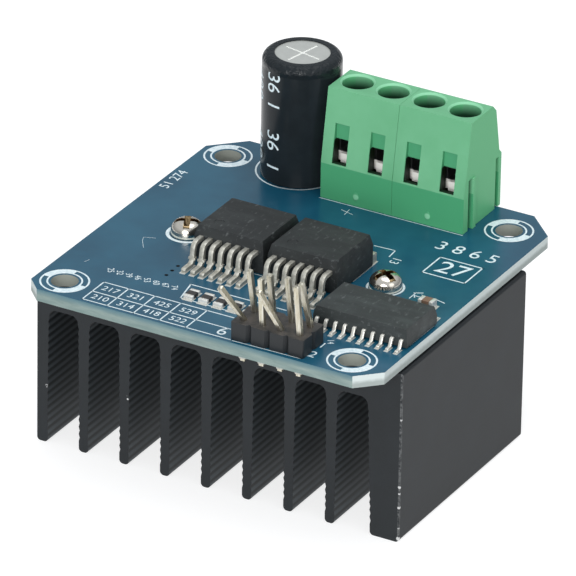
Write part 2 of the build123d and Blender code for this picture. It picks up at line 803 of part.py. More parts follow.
# Chip resistors and the ceramic capacitor: a body between two tinned ends
def chip_row(spots, height, body_size, end_size, end_shift, body_name, end_name):
    """Bodies and their two end caps for a row of small two-ended parts."""
    with BuildPart() as bodies:
        with BuildSketch(Plane.XY.offset(land_top)):
            with Locations(*spots):
                Rectangle(*body_size)
        extrude(amount=height)
    save(bodies.part, body_name)
    with BuildPart() as ends:
        with BuildSketch(Plane.XY.offset(land_top)):
            for side in (-1, 1):
                with Locations(*[(x + side * end_shift[0], y + side * end_shift[1]) for x, y in spots]):
                    Rectangle(*end_size)
        extrude(amount=height)
    save(ends.part, end_name)


chip_row(
    resistor_spots,
    resistor_height,
    (passive_width, passive_length - 2 * passive_end),
    (passive_width, passive_end),
    (0, passive_end_shift),
    "resistor_bodies",
    "resistor_ends",
)
chip_row(
    [(ceramic_x, ceramic_y)],
    ceramic_height,
    (passive_length - 2 * passive_end, passive_width),
    (passive_end, passive_width),
    (passive_end_shift, 0),
    "ceramic_capacitor_body",
    "ceramic_capacitor_ends",
)

# Tinned copper lands under the surface-mounted pieces
with BuildPart() as component_lands:
    with BuildSketch(Plane.XY.offset(board_top)):
        land_length = power_lead_foot_length + 2 * land_margin
        land_y = chip_front_y - power_lead_foot_reach + power_lead_foot_length / 2
        for chip_x in (chip_left_x, chip_right_x):
            for i in range(power_lead_count):
                with Locations((chip_x + (i - (power_lead_count - 1) / 2) * power_lead_pitch, land_y)):
                    Rectangle(power_lead_width + land_margin / 2, land_length)
            with Locations((chip_x, chip_front_y + chip_length - tab_width / 4 + tab_reach / 2)):
                Rectangle(tab_width + land_margin, tab_width / 2 + tab_reach + land_margin)
        for side in (-1, 1):
            foot_y = buffer_y + side * (buffer_width / 2 + buffer_lead_reach - buffer_lead_foot_length / 2)
            with Locations(*[(x, foot_y) for x in buffer_lead_x]):
                Rectangle(buffer_lead_width + land_margin / 2, buffer_lead_foot_length + 2 * land_margin)
            with Locations(*[(x, y + side * passive_end_shift) for x, y in resistor_spots]):
                Rectangle(passive_width + land_margin / 2, passive_end + 2 * land_margin)
            with Locations((ceramic_x + side * passive_end_shift, ceramic_y)):
                Rectangle(passive_end + 2 * land_margin, passive_width + land_margin / 2)
    extrude(amount=land_thickness)
save(component_lands.part, "component_lands")


# Solder cones on the underside, round every pin that comes through
def solder_cones(spots, pin_size, name):
    """One cone round each pin; a round pin has a single size, a square one two."""
    with BuildPart() as cones:
        with Locations(*[(x, y, -solder_cone_height / 2) for x, y in spots]):
            Cone(solder_cone_tip + pin_size[0] / 4, solder_cone_root, solder_cone_height)
        with BuildSketch(Plane.XY.offset(-solder_cone_height)):
            with Locations(*spots):
                if len(pin_size) == 1:
                    Circle(pin_size[0] / 2)
                else:
                    Rectangle(*pin_size)
        extrude(amount=solder_cone_height, mode=Mode.SUBTRACT)
    save(cones.part, name)


solder_cones(header_spots, (pin_width, pin_width), "header_solder")
solder_cones(bar_pin_spots, (bar_pin_width, bar_pin_depth), "terminal_solder")
solder_cones(capacitor_lead_spots, (capacitor_lead_diameter,), "capacitor_solder")
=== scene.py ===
"""Looks of the DC motor driver module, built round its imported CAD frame.

Everything is in metres in the frame of the part: the origin is the centre of the four mounting
holes on the underside of the board, +Z up through the components, -Y the edge with the header.
"""
import json
import math

import bpy
from mathutils import Matrix, Vector

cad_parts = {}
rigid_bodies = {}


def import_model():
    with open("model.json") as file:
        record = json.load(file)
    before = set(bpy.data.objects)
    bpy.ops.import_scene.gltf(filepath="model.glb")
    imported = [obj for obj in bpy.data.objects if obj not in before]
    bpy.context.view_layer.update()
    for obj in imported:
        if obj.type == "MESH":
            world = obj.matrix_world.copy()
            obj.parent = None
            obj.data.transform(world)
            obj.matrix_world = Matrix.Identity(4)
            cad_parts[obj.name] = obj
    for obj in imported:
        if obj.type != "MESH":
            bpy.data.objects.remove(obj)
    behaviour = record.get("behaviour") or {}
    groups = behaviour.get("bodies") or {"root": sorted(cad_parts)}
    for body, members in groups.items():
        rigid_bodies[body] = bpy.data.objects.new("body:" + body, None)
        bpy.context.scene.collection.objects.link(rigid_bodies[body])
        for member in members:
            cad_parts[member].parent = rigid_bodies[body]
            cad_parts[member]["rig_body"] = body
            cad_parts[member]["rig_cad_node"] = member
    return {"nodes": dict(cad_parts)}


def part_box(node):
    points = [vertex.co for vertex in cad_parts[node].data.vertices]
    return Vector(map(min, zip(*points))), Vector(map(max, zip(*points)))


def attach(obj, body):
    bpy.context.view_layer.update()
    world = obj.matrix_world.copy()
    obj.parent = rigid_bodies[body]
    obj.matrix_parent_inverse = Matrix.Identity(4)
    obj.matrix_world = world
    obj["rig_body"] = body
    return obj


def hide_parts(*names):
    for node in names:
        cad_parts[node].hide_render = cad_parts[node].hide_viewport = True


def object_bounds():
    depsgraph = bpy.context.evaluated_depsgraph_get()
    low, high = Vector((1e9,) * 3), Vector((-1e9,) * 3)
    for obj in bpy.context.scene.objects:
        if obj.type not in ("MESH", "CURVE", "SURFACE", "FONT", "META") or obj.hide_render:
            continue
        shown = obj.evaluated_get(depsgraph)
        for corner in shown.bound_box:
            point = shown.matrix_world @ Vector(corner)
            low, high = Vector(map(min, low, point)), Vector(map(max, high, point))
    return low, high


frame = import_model()
cad_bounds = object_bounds()

bl_info = {
    "name": "Motor driver module",
    "version": (1, 0, 0),
    "blender": (4, 5, 0),
    "location": "View3D > Sidebar > Module",
    "description": "Models the looks of a DC motor driver module on its CAD frame",
    "category": "Object",
}

MM = 0.001
BOARD_TOP = 1.6 * MM
MOUNT = 19.8 * MM  # from the origin to the mounting holes, along X and along Y


def linear(hex_colour):
    """Turn an sRGB hex colour into the linear red, green and blue that shaders take."""
    channels = [int(hex_colour[i : i + 2], 16) / 255 for i in (1, 3, 5)]
    return [c / 12.92 if c <= 0.04045 else ((c + 0.055) / 1.055) ** 2.4 for c in channels]


def rgba(colour):
    """A colour with full alpha, from a hex value or from three linear channels."""
    channels = linear(colour) if isinstance(colour, str) else colour
    return (*channels, 1.0)


# Materials


def fill(tree, node, inputs):
    """Set the inputs of a node, or link those that are given another node's output."""
    for key, value in inputs.items():
        if isinstance(value, bpy.types.NodeSocket):
            tree.links.new(value, node.inputs[key])
        else:
            node.inputs[key].default_value = value


def add_node(tree, kind, inputs=(), output=0, **settings):
    """Add a node with its settings and links, and return one of its outputs, or all for None."""
    node = tree.nodes.new("ShaderNode" + kind)
    for name, value in settings.items():
        setattr(node, name, value)
    fill(tree, node, inputs if isinstance(inputs, dict) else dict(enumerate(inputs)))
    return node.outputs if output is None else node.outputs[output]


def new_material(name):
    """An empty material with its tree, its shader and the surface's Object coordinates."""
    material = bpy.data.materials.new(name)
    material.use_nodes = True
    tree = material.node_tree
    here = add_node(tree, "TexCoord", output="Object")
    return material, tree, tree.nodes["Principled BSDF"], here


def facing(tree, either_way=False):
    """How squarely the surface faces along X, Y and Z, with the sign left out for either way."""
    normal = add_node(tree, "TexCoord", output="Normal")
    if either_way:
        normal = add_node(tree, "VectorMath", (normal,), operation="ABSOLUTE")
    return add_node(tree, "SeparateXYZ", (normal,), None)


def coats(tree, colour, *layers):
    """A base colour with other colours laid over it, each where its mask is 1."""
    for mask, coat in layers:
        pair = [c if isinstance(c, bpy.types.NodeSocket) else rgba(c) for c in (colour, coat)]
        colour = add_node(tree, "Mix", {0: mask, 6: pair[0], 7: pair[1]}, 2, data_type="RGBA")
    return colour


def merge(tree, operation, *masks):
    """One mask from several: MULTIPLY keeps what all of them cover, MAXIMUM what any covers."""
    merged = masks[0]
    for mask in masks[1:]:
        merged = add_node(tree, "Math", (merged, mask), operation=operation)
    return merged


def inside(tree, *limits):
    """Mask that is 1 where each value lies between its two limits. None leaves a side open."""
    tests = []
    for value, low, high in limits:
        if low is not None:
            tests.append(add_node(tree, "Math", (value, low), operation="GREATER_THAN"))
        if high is not None:
            tests.append(add_node(tree, "Math", (value, high), operation="LESS_THAN"))
    return merge(tree, "MULTIPLY", *tests)


def mottle(tree, here, size_mm, detail=3.0, stretch=(1, 1, 1)):
    """Soft patches about size_mm across, drawn out along the axes with a stretch over 1."""
    scaled = add_node(tree, "Mapping", {"Vector": here, "Scale": [1 / s for s in stretch]})
    inputs = {"Vector": scaled, "Scale": 1 / (size_mm * MM), "Detail": detail, "Roughness": 0.6}
    return add_node(tree, "TexNoise", inputs, "Fac")


def distance(tree, here, centre, plan=False):
    """Distance from a point or, in plan, from the upright line through it."""
    if plan:
        here = add_node(tree, "VectorMath", (here, (1, 1, 0)), operation="MULTIPLY")
        centre = (centre[0], centre[1], 0)
    return add_node(tree, "VectorMath", (here, centre), "Value", operation="DISTANCE")


def spot(tree, here, centre_mm, radius_mm):
    """Mask that is 1 within radius_mm of a point and fades to 0 over half of that radius again."""
    away = distance(tree, here, [c * MM for c in centre_mm])
    return add_node(tree, "MapRange", (away, radius_mm * MM, 1.5 * radius_mm * MM, 1.0, 0.0))


def solder_mask_board():
    """Glass-epoxy board: glossy blue mask on both faces, sawn pale edges, tinned mounting holes."""
    look = bpy.context.scene.module_board
    material, tree, shader, here = new_material("solder_mask_on_glass_epoxy")
    # All four quarters of the board are alike here, so the masks are drawn on one of them
    quarter = add_node(tree, "VectorMath", (here,), operation="ABSOLUTE")
    x, y, z = add_node(tree, "SeparateXYZ", (quarter,), None)
    side_x, _, side_z = facing(tree, either_way=True)
    on_face = inside(tree, (side_z, 0.5, None))
    # The mask's colour drifts a little where the copper underneath is dense
    cloud = add_node(tree, "MapRange", (mottle(tree, here, 9.0), 0.35, 0.65))
    mask = coats(tree, look.mask_colour, (cloud, look.mask_over_copper))
    # Routed front and back edges: the mask runs over their upper half, greyer epoxy shows below it
    streaks = mottle(tree, here, 0.7, detail=4.0, stretch=(5, 1, 1))
    edge = coats(
        tree,
        look.edge_colour,
        (add_node(tree, "MapRange", (streaks, 0.35, 0.75)), look.edge_fibre),
        (add_node(tree, "MapRange", (z, 0.8 * MM, 1.5 * MM)), look.edge_masked),
    )
    # Side edges and corners: snapped off the panel, so pale torn fibre, paler in its upper half
    ragged = add_node(tree, "Math", (streaks, 0.4 * MM, z), operation="MULTIPLY_ADD")
    torn_high = add_node(tree, "MapRange", (ragged, 0.7 * MM, 1.2 * MM))
    torn = coats(tree, look.torn_low, (torn_high, look.torn_high))
    # The mounting holes are plated and dull; the walls of the small holes inside the board are
    # painted near black, as painted shade
    from_mount = distance(tree, quarter, (MOUNT, MOUNT), plan=True)
    small_holes = 17.0 * MM
    side = coats(
        tree,
        edge,
        (inside(tree, (side_x, 0.3, None)), torn),
        (inside(tree, (from_mount, None, 2.0 * MM)), "#8d9189"),
        (inside(tree, (x, None, small_holes), (y, None, small_holes)), "#0c1114"),
    )
    # Weave of the glass cloth shows as a slight unevenness of the gloss, about 1 mm apart
    weave = mottle(tree, here, 1.1, detail=2.0)
    height = add_node(tree, "Math", (weave, streaks), operation="ADD")
    finish = {
        "Base Color": coats(tree, side, (on_face, mask)),
        "Roughness": add_node(tree, "MapRange", (on_face, 0, 1, 0.66, 0.26)),
        "Specular IOR Level": 0.5,
        "IOR": 1.5,
        "Normal": add_node(tree, "Bump", {"Height": height, "Distance": 0.012 * MM}),
    }
    fill(tree, shader, finish)
    return material


def printed_ink():
    """White epoxy ink printed on the mask: flat, slightly worn and uneven at its edges."""
    material, tree, shader, here = new_material("white_legend_ink")
    wear = add_node(tree, "MapRange", (mottle(tree, here, 0.3, detail=4.0), 0.3, 0.62))
    colour = coats(tree, "#bdd2d9", (wear, "#e4eff2"))
    fill(tree, shader, {"Base Color": colour, "Roughness": 0.45})
    return material


# Knocks in the heatsink's coat, down its front right edge and on two fins: centre and radius in mm
KNOCKS = (
    ((24.9, -16.6, -6.5), 0.12),
    ((24.9, -16.6, -13.2), 0.1),
    ((24.9, -16.6, -15.6), 0.16),
    ((24.9, -16.6, -16.5), 0.12),
    ((24.9, -16.6, -18.4), 0.16),
    ((24.9, -16.6, -21.2), 0.1),
    ((24.9, -16.6, -22.6), 0.2),
    ((-24.15, -16.7, -15.3), 0.16),
    ((-12.75, -16.7, -13.6), 0.08),
    ((-12.7, -16.7, -14.0), 0.1),
)


def black_anodised_aluminium():
    """Extruded aluminium, anodised black: dull sheen, painted highlights on the ridge crests and
    painted shade in their grooves, bare metal in its nicks.
    """
    look = bpy.context.scene.module_heatsink
    material, tree, shader, here = new_material("black_anodised_aluminium")
    low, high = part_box("heatsink")
    x, _, z = add_node(tree, "SeparateXYZ", (here,), None)
    sideways = facing(tree, either_way=True)["X"]
    # Cloudy coat over the fine lines that the extrusion die leaves along the heatsink
    cloud = mottle(tree, here, 4.0)
    lines = mottle(tree, here, 0.25, detail=4.0, stretch=(1, 40, 1))
    shade = add_node(tree, "Mix", {0: 0.4, 2: cloud, 3: lines})
    light_coat = add_node(tree, "MapRange", (shade, 0.35, 0.65))
    # Painted highlight on the crests of the ridges between the fins, and painted shade in their
    # grooves
    pitch = look.ridge_pitch
    first = high.z - look.first_ridge
    below_first = add_node(tree, "Math", (z, first), operation="SUBTRACT")
    from_crest = add_node(tree, "Math", (below_first, pitch / 2), operation="PINGPONG")
    groove = add_node(tree, "MapRange", (from_crest, 0.12 * pitch, 0.38 * pitch))
    painted_ridge_light_and_shade = coats(tree, look.crest_painted_highlight, (groove, look.groove_painted_shade))
    outer = 0.2 * MM
    on_fin = inside(
        tree,
        (sideways, 0.6, None),
        (x, low.x + outer, high.x - outer),
        (z, None, first + 0.4 * pitch),
    )
    # Front right edge: a thin rubbed line, broken by the grain
    ragged = mottle(tree, here, 0.35, detail=4.0)
    from_edge = distance(tree, here, (high.x, low.y), plan=True)
    rubbed = merge(
        tree,
        "MULTIPLY",
        add_node(tree, "MapRange", (from_edge, 0.2 * MM, 0.26 * MM, 1.0, 0.0)),
        add_node(tree, "MapRange", (ragged, 0.4, 0.6, 0.0, 0.35)),
    )
    # Small knocks, where the coat is gone
    spots = [spot(tree, here, centre, radius * look.nick_size) for centre, radius in KNOCKS]
    knocked = merge(tree, "MAXIMUM", *spots)
    bare = merge(tree, "MULTIPLY", knocked, add_node(tree, "MapRange", (ragged, 0.4, 0.5)))
    colour = coats(
        tree,
        look.coat_dark,
        (light_coat, look.coat_light),
        (on_fin, painted_ridge_light_and_shade),
        (rubbed, "#9a9c9c"),
        (bare, "#d3d4d4"),
    )
    height = add_node(tree, "Math", (mottle(tree, here, 0.12), lines), operation="ADD")
    finish = {
        "Base Color": colour,
        "Metallic": add_node(tree, "MapRange", (bare, 0, 1, 0.3, 1.0)),
        "Roughness": add_node(tree, "MapRange", (bare, 0, 1, 0.55, 0.35)),
        "Normal": add_node(tree, "Bump", {"Height": height, "Distance": 0.01 * MM}),
    }
    fill(tree, shader, finish)
    return material


def epoxy_moulding(name, dark, light):
    """Filled epoxy moulding compound of chip bodies: matte dark grey, fine grain, light scuffs."""
    material, tree, shader, here = new_material(name)
    smear = mottle(tree, here, 2.2, detail=5.0, stretch=(2.5, 1, 1))
    scuffs = mottle(tree, here, 0.5, detail=5.0, stretch=(1, 2.5, 1))
    colour = coats(
        tree,
        dark,
        (add_node(tree, "MapRange", (smear, 0.45, 0.72)), light),
        (add_node(tree, "MapRange", (scuffs, 0.58, 0.7, 0.0, 0.45)), "#6a6f6f"),
    )
    grain = mottle(tree, here, 0.09, detail=2.0)
    finish = {
        "Base Color": colour,
        "Roughness": add_node(tree, "MapRange", (smear, 0.3, 0.7, 0.68, 0.55)),
        "IOR": 1.5,
        "Normal": add_node(tree, "Bump", {"Height": grain, "Distance": 0.012 * MM}),
    }
    fill(tree, shader, finish)
    return material


def bright_tin(name="matte_tin_plate", colour="#aeaca0", roughness=0.42, metallic=0.75):
    """Tin plate over copper, or solder: pale warm metal, satin, with faint flow marks."""
    material, tree, shader, here = new_material(name)
    flow = mottle(tree, here, 0.5, detail=4.0)
    pale = add_node(tree, "MapRange", (flow, 0.35, 0.7))
    grain = mottle(tree, here, 0.25)
    finish = {
        "Base Color": coats(tree, colour, (pale, "#d3d1c8")),
        "Metallic": metallic,
        "Roughness": add_node(tree, "MapRange", (flow, 0.3, 0.7, roughness, roughness + 0.14)),
        "Normal": add_node(tree, "Bump", {"Height": grain, "Distance": 0.01 * MM}),
    }
    fill(tree, shader, finish)
    return material


def in_cross(tree, here, node, turn):
    """Mask that is 1 on the plan of the crossed recess of a screw."""
    look = bpy.context.scene.module_screws
    low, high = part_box(node)
    middle = Vector(((low.x + high.x) / 2, (low.y + high.y) / 2, 0))
    inputs = {"Vector": here, "Center": middle, "Angle": -turn}
    turned = add_node(tree, "VectorRotate", inputs, rotation_type="Z_AXIS")
    offset = add_node(tree, "VectorMath", (turned, middle), operation="SUBTRACT")
    reach = add_node(tree, "VectorMath", (offset,), operation="ABSOLUTE")
    along, across, _ = add_node(tree, "SeparateXYZ", (reach,), None)
    least = add_node(tree, "Math", (along, across), operation="MINIMUM")
    most = add_node(tree, "Math", (along, across), operation="MAXIMUM")
    return inside(
        tree, (least, None, look.recess_width / 2), (most, None, look.recess_length / 2)
    )


def bright_nickel():
    """Bright nickel plate on pressed steel screws: mirror-like and warm, with mottled brown painted
    shade in the recess.
    """
    look = bpy.context.scene.module_screws
    material, tree, shader, here = new_material("bright_nickel_plate")
    recess = merge(
        tree,
        "MAXIMUM",
        in_cross(tree, here, "heatsink_screw_left", look.turn_left),
        in_cross(tree, here, "heatsink_screw_right", look.turn_right),
    )
    # Painted shade in the crossed recesses: mottled dark and lighter brown
    shade_mottle = add_node(tree, "MapRange", (mottle(tree, here, 0.4, detail=4.0), 0.35, 0.65))
    recess_painted_shade = coats(tree, "#54452f", (shade_mottle, "#a8926f"))
    finish = {
        "Base Color": coats(tree, "#dbd5ca", (recess, recess_painted_shade)),
        "Metallic": 1.0,
        "Roughness": add_node(tree, "MapRange", (mottle(tree, here, 0.6), 0.4, 0.7, 0.14, 0.28)),
    }
    fill(tree, shader, finish)
    return material


def zinc_plate():
    """Clear zinc plate on the clamps: cold grey and cloudy, with a creamy painted highlight on the
    lower part of the cage tongues.
    """
    material, tree, shader, here = new_material("clear_zinc_plate")
    low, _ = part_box("clamp_cage_1")
    _, y, z = add_node(tree, "SeparateXYZ", (here,), None)
    # Painted highlight: the lower part of each cage tongue is creamy white and not metallic
    tongue = inside(tree, (y, None, low.y + 0.55 * MM), (z, None, low.z + 1.35 * MM))
    cloud = mottle(tree, here, 0.8, detail=4.0)
    finish = {
        "Base Color": coats(tree, "#5f6364", (cloud, "#969998"), (tongue, "#fffdf6")),
        "Metallic": add_node(tree, "MapRange", (tongue, 0, 1, 1.0, 0.0)),
        "Roughness": 0.35,
    }
    fill(tree, shader, finish)
    return material


def pale_gold_flash():
    """Thin gold flash over nickel on the header pins: pale straw to silver, drawn along the pin."""
    material, tree, shader, here = new_material("gold_flash_on_brass")
    drawn = mottle(tree, here, 0.2, detail=4.0, stretch=(1, 1, 12))
    silver = add_node(tree, "MapRange", (drawn, 0.35, 0.7))
    finish = {
        "Base Color": coats(tree, "#bdb69f", (silver, "#e6e3d8")),
        "Metallic": 1.0,
        "Roughness": add_node(tree, "MapRange", (drawn, 0.3, 0.7, 0.24, 0.4)),
        "Normal": add_node(tree, "Bump", {"Height": drawn, "Distance": 0.006 * MM}),
    }
    fill(tree, shader, finish)
    return material


def header_thermoplastic():
    """Glass-filled black thermoplastic of the header: near black, satin, dusty on top."""
    material, tree, shader, here = new_material("glass_filled_black_thermoplastic")
    patches = add_node(tree, "MapRange", (mottle(tree, here, 0.9, detail=5.0), 0.35, 0.65))
    dust = merge(tree, "MULTIPLY", inside(tree, (facing(tree)["Z"], 0.5, None)), patches)
    grain = mottle(tree, here, 0.15)
    finish = {
        "Base Color": coats(tree, "#13171a", (dust, "#46403c")),
        "Roughness": 0.45,
        "Normal": add_node(tree, "Bump", {"Height": grain, "Distance": 0.008 * MM}),
    }
    fill(tree, shader, finish)
    return material


def green_polyamide():
    """Flame-retardant polyamide of the terminals: satin green, painted light on the ends, painted
    shade on the foot and in the wire wells, painted highlights on the bore rims.
    """
    look = bpy.context.scene.module_terminals
    material, tree, shader, here = new_material("green_polyamide")
    low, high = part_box("terminal_housing_left")
    screw_low, screw_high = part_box("clamp_screw_1")
    pole_x = (screw_low.x + screw_high.x) / 2
    pole_y = (screw_low.y + screw_high.y) / 2
    crease = low.z + look.crease_height
    x, y, z = add_node(tree, "SeparateXYZ", (here,), None)
    cloud = add_node(tree, "MapRange", (mottle(tree, here, 5.0), 0.3, 0.7))
    # The plain ends of the blocks, facing along X, get their own tone of green: painted light, for
    # how light falls on them
    end = inside(tree, (facing(tree, either_way=True)["X"], 0.6, None))
    # Painted shade on the foot of the front, below the crease, which faces less of the light from
    # above than the slope
    foot = inside(tree, (z, None, crease), (facing(tree)["Y"], None, -0.6))
    # The poles repeat, so what each of them has is drawn on the distance from the nearest one
    from_first = add_node(tree, "Math", (x, pole_x), operation="SUBTRACT")
    from_pole = add_node(tree, "Math", (from_first, look.pole_pitch / 2), operation="PINGPONG")
    # Wire entries: painted shade, a deeper green in their shallow upper part and dark below where
    # they run through
    over_crease = add_node(tree, "Math", (z, crease), operation="SUBTRACT")
    sloped = add_node(tree, "Math", (over_crease, 0), operation="MAXIMUM")
    setback = add_node(tree, "Math", (sloped, look.slope, low.y), operation="MULTIPLY_ADD")
    depth = add_node(tree, "Math", (y, setback), operation="SUBTRACT")
    entry_painted_shade = inside(
        tree,
        (depth, 0.14 * MM, None),
        (from_pole, None, 1.04 * MM),
        (z, None, low.z + 10.3 * MM),
    )
    low_entry_painted_shade = merge(tree, "MULTIPLY", entry_painted_shade, inside(tree, (z, None, low.z + 7.93 * MM)))
    # Painted shade, near black, in the clamp cavities behind the fronts
    hollow_painted_shade = inside(
        tree,
        (from_pole, None, 2.1 * MM),
        (y, low.y + look.recess_plane, pole_y + 2.3 * MM),
        (z, None, low.z + 10.95 * MM),
    )
    # The driver bores get less light the deeper they go
    folded = add_node(tree, "CombineXYZ", (from_pole, y, 0))
    from_axis = distance(tree, folded, (0, pole_y, 0))
    sunk = add_node(tree, "MapRange", (z, high.z - 0.25 * MM, high.z - 1.7 * MM))
    in_bore = merge(tree, "MULTIPLY", inside(tree, (from_axis, None, 2.02 * MM)), sunk)
    # Painted highlight on the flared rims of the bores; the gate marks on the foot are rubbed
    # lighter
    rim = inside(
        tree,
        (from_axis, 1.94 * MM, 2.2 * MM),
        (z, high.z - 0.25 * MM, high.z - 0.01 * MM),
    )
    gate_y, gate_z = low.y / MM, (low.z + look.gate_height) / MM
    gates = [spot(tree, here, (gate_x, gate_y, gate_z), 0.3) for gate_x in (0.5, 10.5)]
    rubbed = merge(tree, "MULTIPLY", merge(tree, "MAXIMUM", rim, *gates), 0.7)
    colour = coats(
        tree,
        look.colour,
        (cloud, look.colour_light),
        (end, look.ends_painted_light),
        (foot, look.foot_painted_shade),
        (entry_painted_shade, "#50a375"),
        (low_entry_painted_shade, "#1a3523"),
        (hollow_painted_shade, "#14200f"),
        (in_bore, "#123f26"),
        (rubbed, "#93d3ab"),
    )
    grain = mottle(tree, here, 0.12, detail=2.0)
    finish = {
        "Base Color": colour,
        "Roughness": 0.5,
        "Specular IOR Level": 0.35,
        "IOR": 1.5,
        "Normal": add_node(tree, "Bump", {"Height": grain, "Distance": 0.01 * MM}),
    }
    fill(tree, shader, finish)
    return material


def sleeve_vinyl():
    """Heat-shrunk black vinyl sleeve of the capacitor, with a greyer stripe and its minus marks."""
    look = bpy.context.scene.module_capacitor
    material, tree, shader, here = new_material("shrunk_vinyl_sleeve")
    low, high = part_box("capacitor_sleeve")
    centre = (low + high) / 2
    top = high.z - centre.z
    offset = add_node(tree, "VectorMath", (here, centre), operation="SUBTRACT")
    x, y, z = add_node(tree, "SeparateXYZ", (offset,), None)
    angle = add_node(tree, "Math", (y, x), operation="ARCTAN2")
    from_stripe = add_node(tree, "Math", (angle, look.stripe_angle), operation="SUBTRACT")
    turned = add_node(tree, "Math", (from_stripe,), operation="ABSOLUTE")
    stripe_top = top - 1.2 * MM
    stripe = inside(tree, (turned, None, look.stripe_half_angle), (z, None, stripe_top))
    # A minus mark every few millimetres down the stripe
    along = add_node(tree, "Math", (z, look.mark_pitch / 2), operation="PINGPONG")
    mark = inside(
        tree,
        (along, None, 0.26 * MM),
        (turned, None, look.mark_half_angle),
        (z, None, stripe_top),
    )
    # The shrunk rim on top is duller than the taut side, and crinkled
    rim = add_node(tree, "MapRange", (z, top - 1.5 * MM, top - 0.7 * MM, 0.0, 12.0))
    taut = mottle(tree, here, 1.6, detail=2.0, stretch=(1, 1, 3))
    crinkled = (mottle(tree, here, 0.7, detail=2.0), rim, taut)
    height = add_node(tree, "Math", crinkled, operation="MULTIPLY_ADD")
    vinyl = mottle(tree, here, 3.0)
    finish = {
        "Base Color": coats(
            tree, "#171b1e", (vinyl, "#242b2f"), (stripe, "#3b4245"), (mark, "#c9cdcd")
        ),
        "Roughness": add_node(tree, "MapRange", (facing(tree)["Z"], 0.2, 0.7, 0.2, 0.32)),
        "Specular IOR Level": 0.17,
        "IOR": 1.54,
        "Normal": add_node(tree, "Bump", {"Height": height, "Distance": 0.02 * MM}),
    }
    fill(tree, shader, finish)
    return material


def spun_aluminium():
    """Bare end of the drawn can: satin aluminium, faint grain, with a painted highlight in the
    pressed score.
    """
    material, tree, shader, here = new_material("bare_drawn_aluminium")
    low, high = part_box("capacitor_can")
    z = add_node(tree, "SeparateXYZ", (here,), "Z")
    middle = ((low.x + high.x) / 2, (low.y + high.y) / 2, high.z)
    from_middle = distance(tree, here, middle)
    # Painted highlight in the pressed score: near white and hardly metallic
    score = inside(tree, (z, None, high.z - 0.03 * MM), (from_middle, None, 2.95 * MM))
    cloud = mottle(tree, here, 1.2, detail=4.0)
    grain = mottle(tree, here, 0.15)
    finish = {
        "Base Color": coats(tree, "#bcbeba", (cloud, "#d2d4cf"), (score, "#f2f3f0")),
        "Metallic": add_node(tree, "MapRange", (score, 0, 1, 0.6, 0.1)),
        "Roughness": 0.42,
        "Normal": add_node(tree, "Bump", {"Height": grain, "Distance": 0.008 * MM}),
    }
    fill(tree, shader, finish)
    return material


def black_rubber():
    """Butyl bung and thermal pad: dull black with a soft grain."""
    material, tree, shader, here = new_material("black_butyl_rubber")
    grain = mottle(tree, here, 0.2)
    finish = {
        "Base Color": rgba("#1b1c1d"),
        "Roughness": 0.7,
        "Normal": add_node(tree, "Bump", {"Height": grain, "Distance": 0.02 * MM}),
    }
    fill(tree, shader, finish)
    return material


def resistor_glaze():
    """Black overglaze of chip resistors: smooth, slightly glossy."""
    material, tree, shader, here = new_material("black_overglaze")
    colour = coats(tree, "#1e1d1f", (mottle(tree, here, 0.5), "#38332f"))
    fill(tree, shader, {"Base Color": colour, "Roughness": 0.3})
    return material


def barium_titanate():
    """Sintered ceramic of the chip capacitor: matte brown."""
    material, tree, shader, here = new_material("sintered_brown_ceramic")
    colour = coats(tree, "#6d5340", (mottle(tree, here, 0.15), "#8f705a"))
    fill(tree, shader, {"Base Color": colour, "Roughness": 0.5})
    return material


def pale_sweep():
    """Matte pale paper of the studio sweep; cameras, mirrors and glass see it lighter."""
    look = bpy.context.scene.module_stage
    material, tree, shader, _ = new_material("matte_pale_paper")
    path = add_node(tree, "LightPath", output=None)
    rays = [path[kind] for kind in ("Is Camera Ray", "Is Glossy Ray", "Is Transmission Ray")]
    seen = merge(tree, "MAXIMUM", *rays)
    finish = {
        "Base Color": coats(tree, look.floor_bounce, (seen, look.floor_colour)),
        "Roughness": 0.9,
        "Specular IOR Level": 0.1,
        "Emission Color": rgba("#ffffff"),
        "Emission Strength": merge(tree, "MULTIPLY", seen, look.floor_glow),
    }
    fill(tree, shader, finish)
    return material


# Modelling steps


def deselect_all():
    """Leave edit mode and deselect every object."""
    if bpy.context.object and bpy.context.object.mode != "OBJECT":
        bpy.ops.object.mode_set(mode="OBJECT")
    bpy.ops.object.select_all(action="DESELECT")


def activate(piece):
    """Select one object and make it the active one."""
    deselect_all()
    piece.select_set(True)
    bpy.context.view_layer.objects.active = piece


def edit(piece, select="DESELECT", mode="FACE"):
    """Open one object in edit mode with all or nothing selected."""
    activate(piece)
    bpy.ops.object.mode_set(mode="EDIT")
    bpy.ops.mesh.select_mode(type=mode)
    bpy.ops.mesh.select_all(action=select)


def pick(piece, kind, test):
    """Select the faces, edges or vertices that pass a test, in edit mode."""
    bpy.ops.object.mode_set(mode="OBJECT")
    for element in getattr(piece.data, kind):
        element.select = bool(test(element))
    bpy.ops.object.mode_set(mode="EDIT")


def last_made(name):
    """Name the object that an operator has just added."""
    piece = bpy.context.object
    piece.name = name
    piece.data.name = name
    return piece


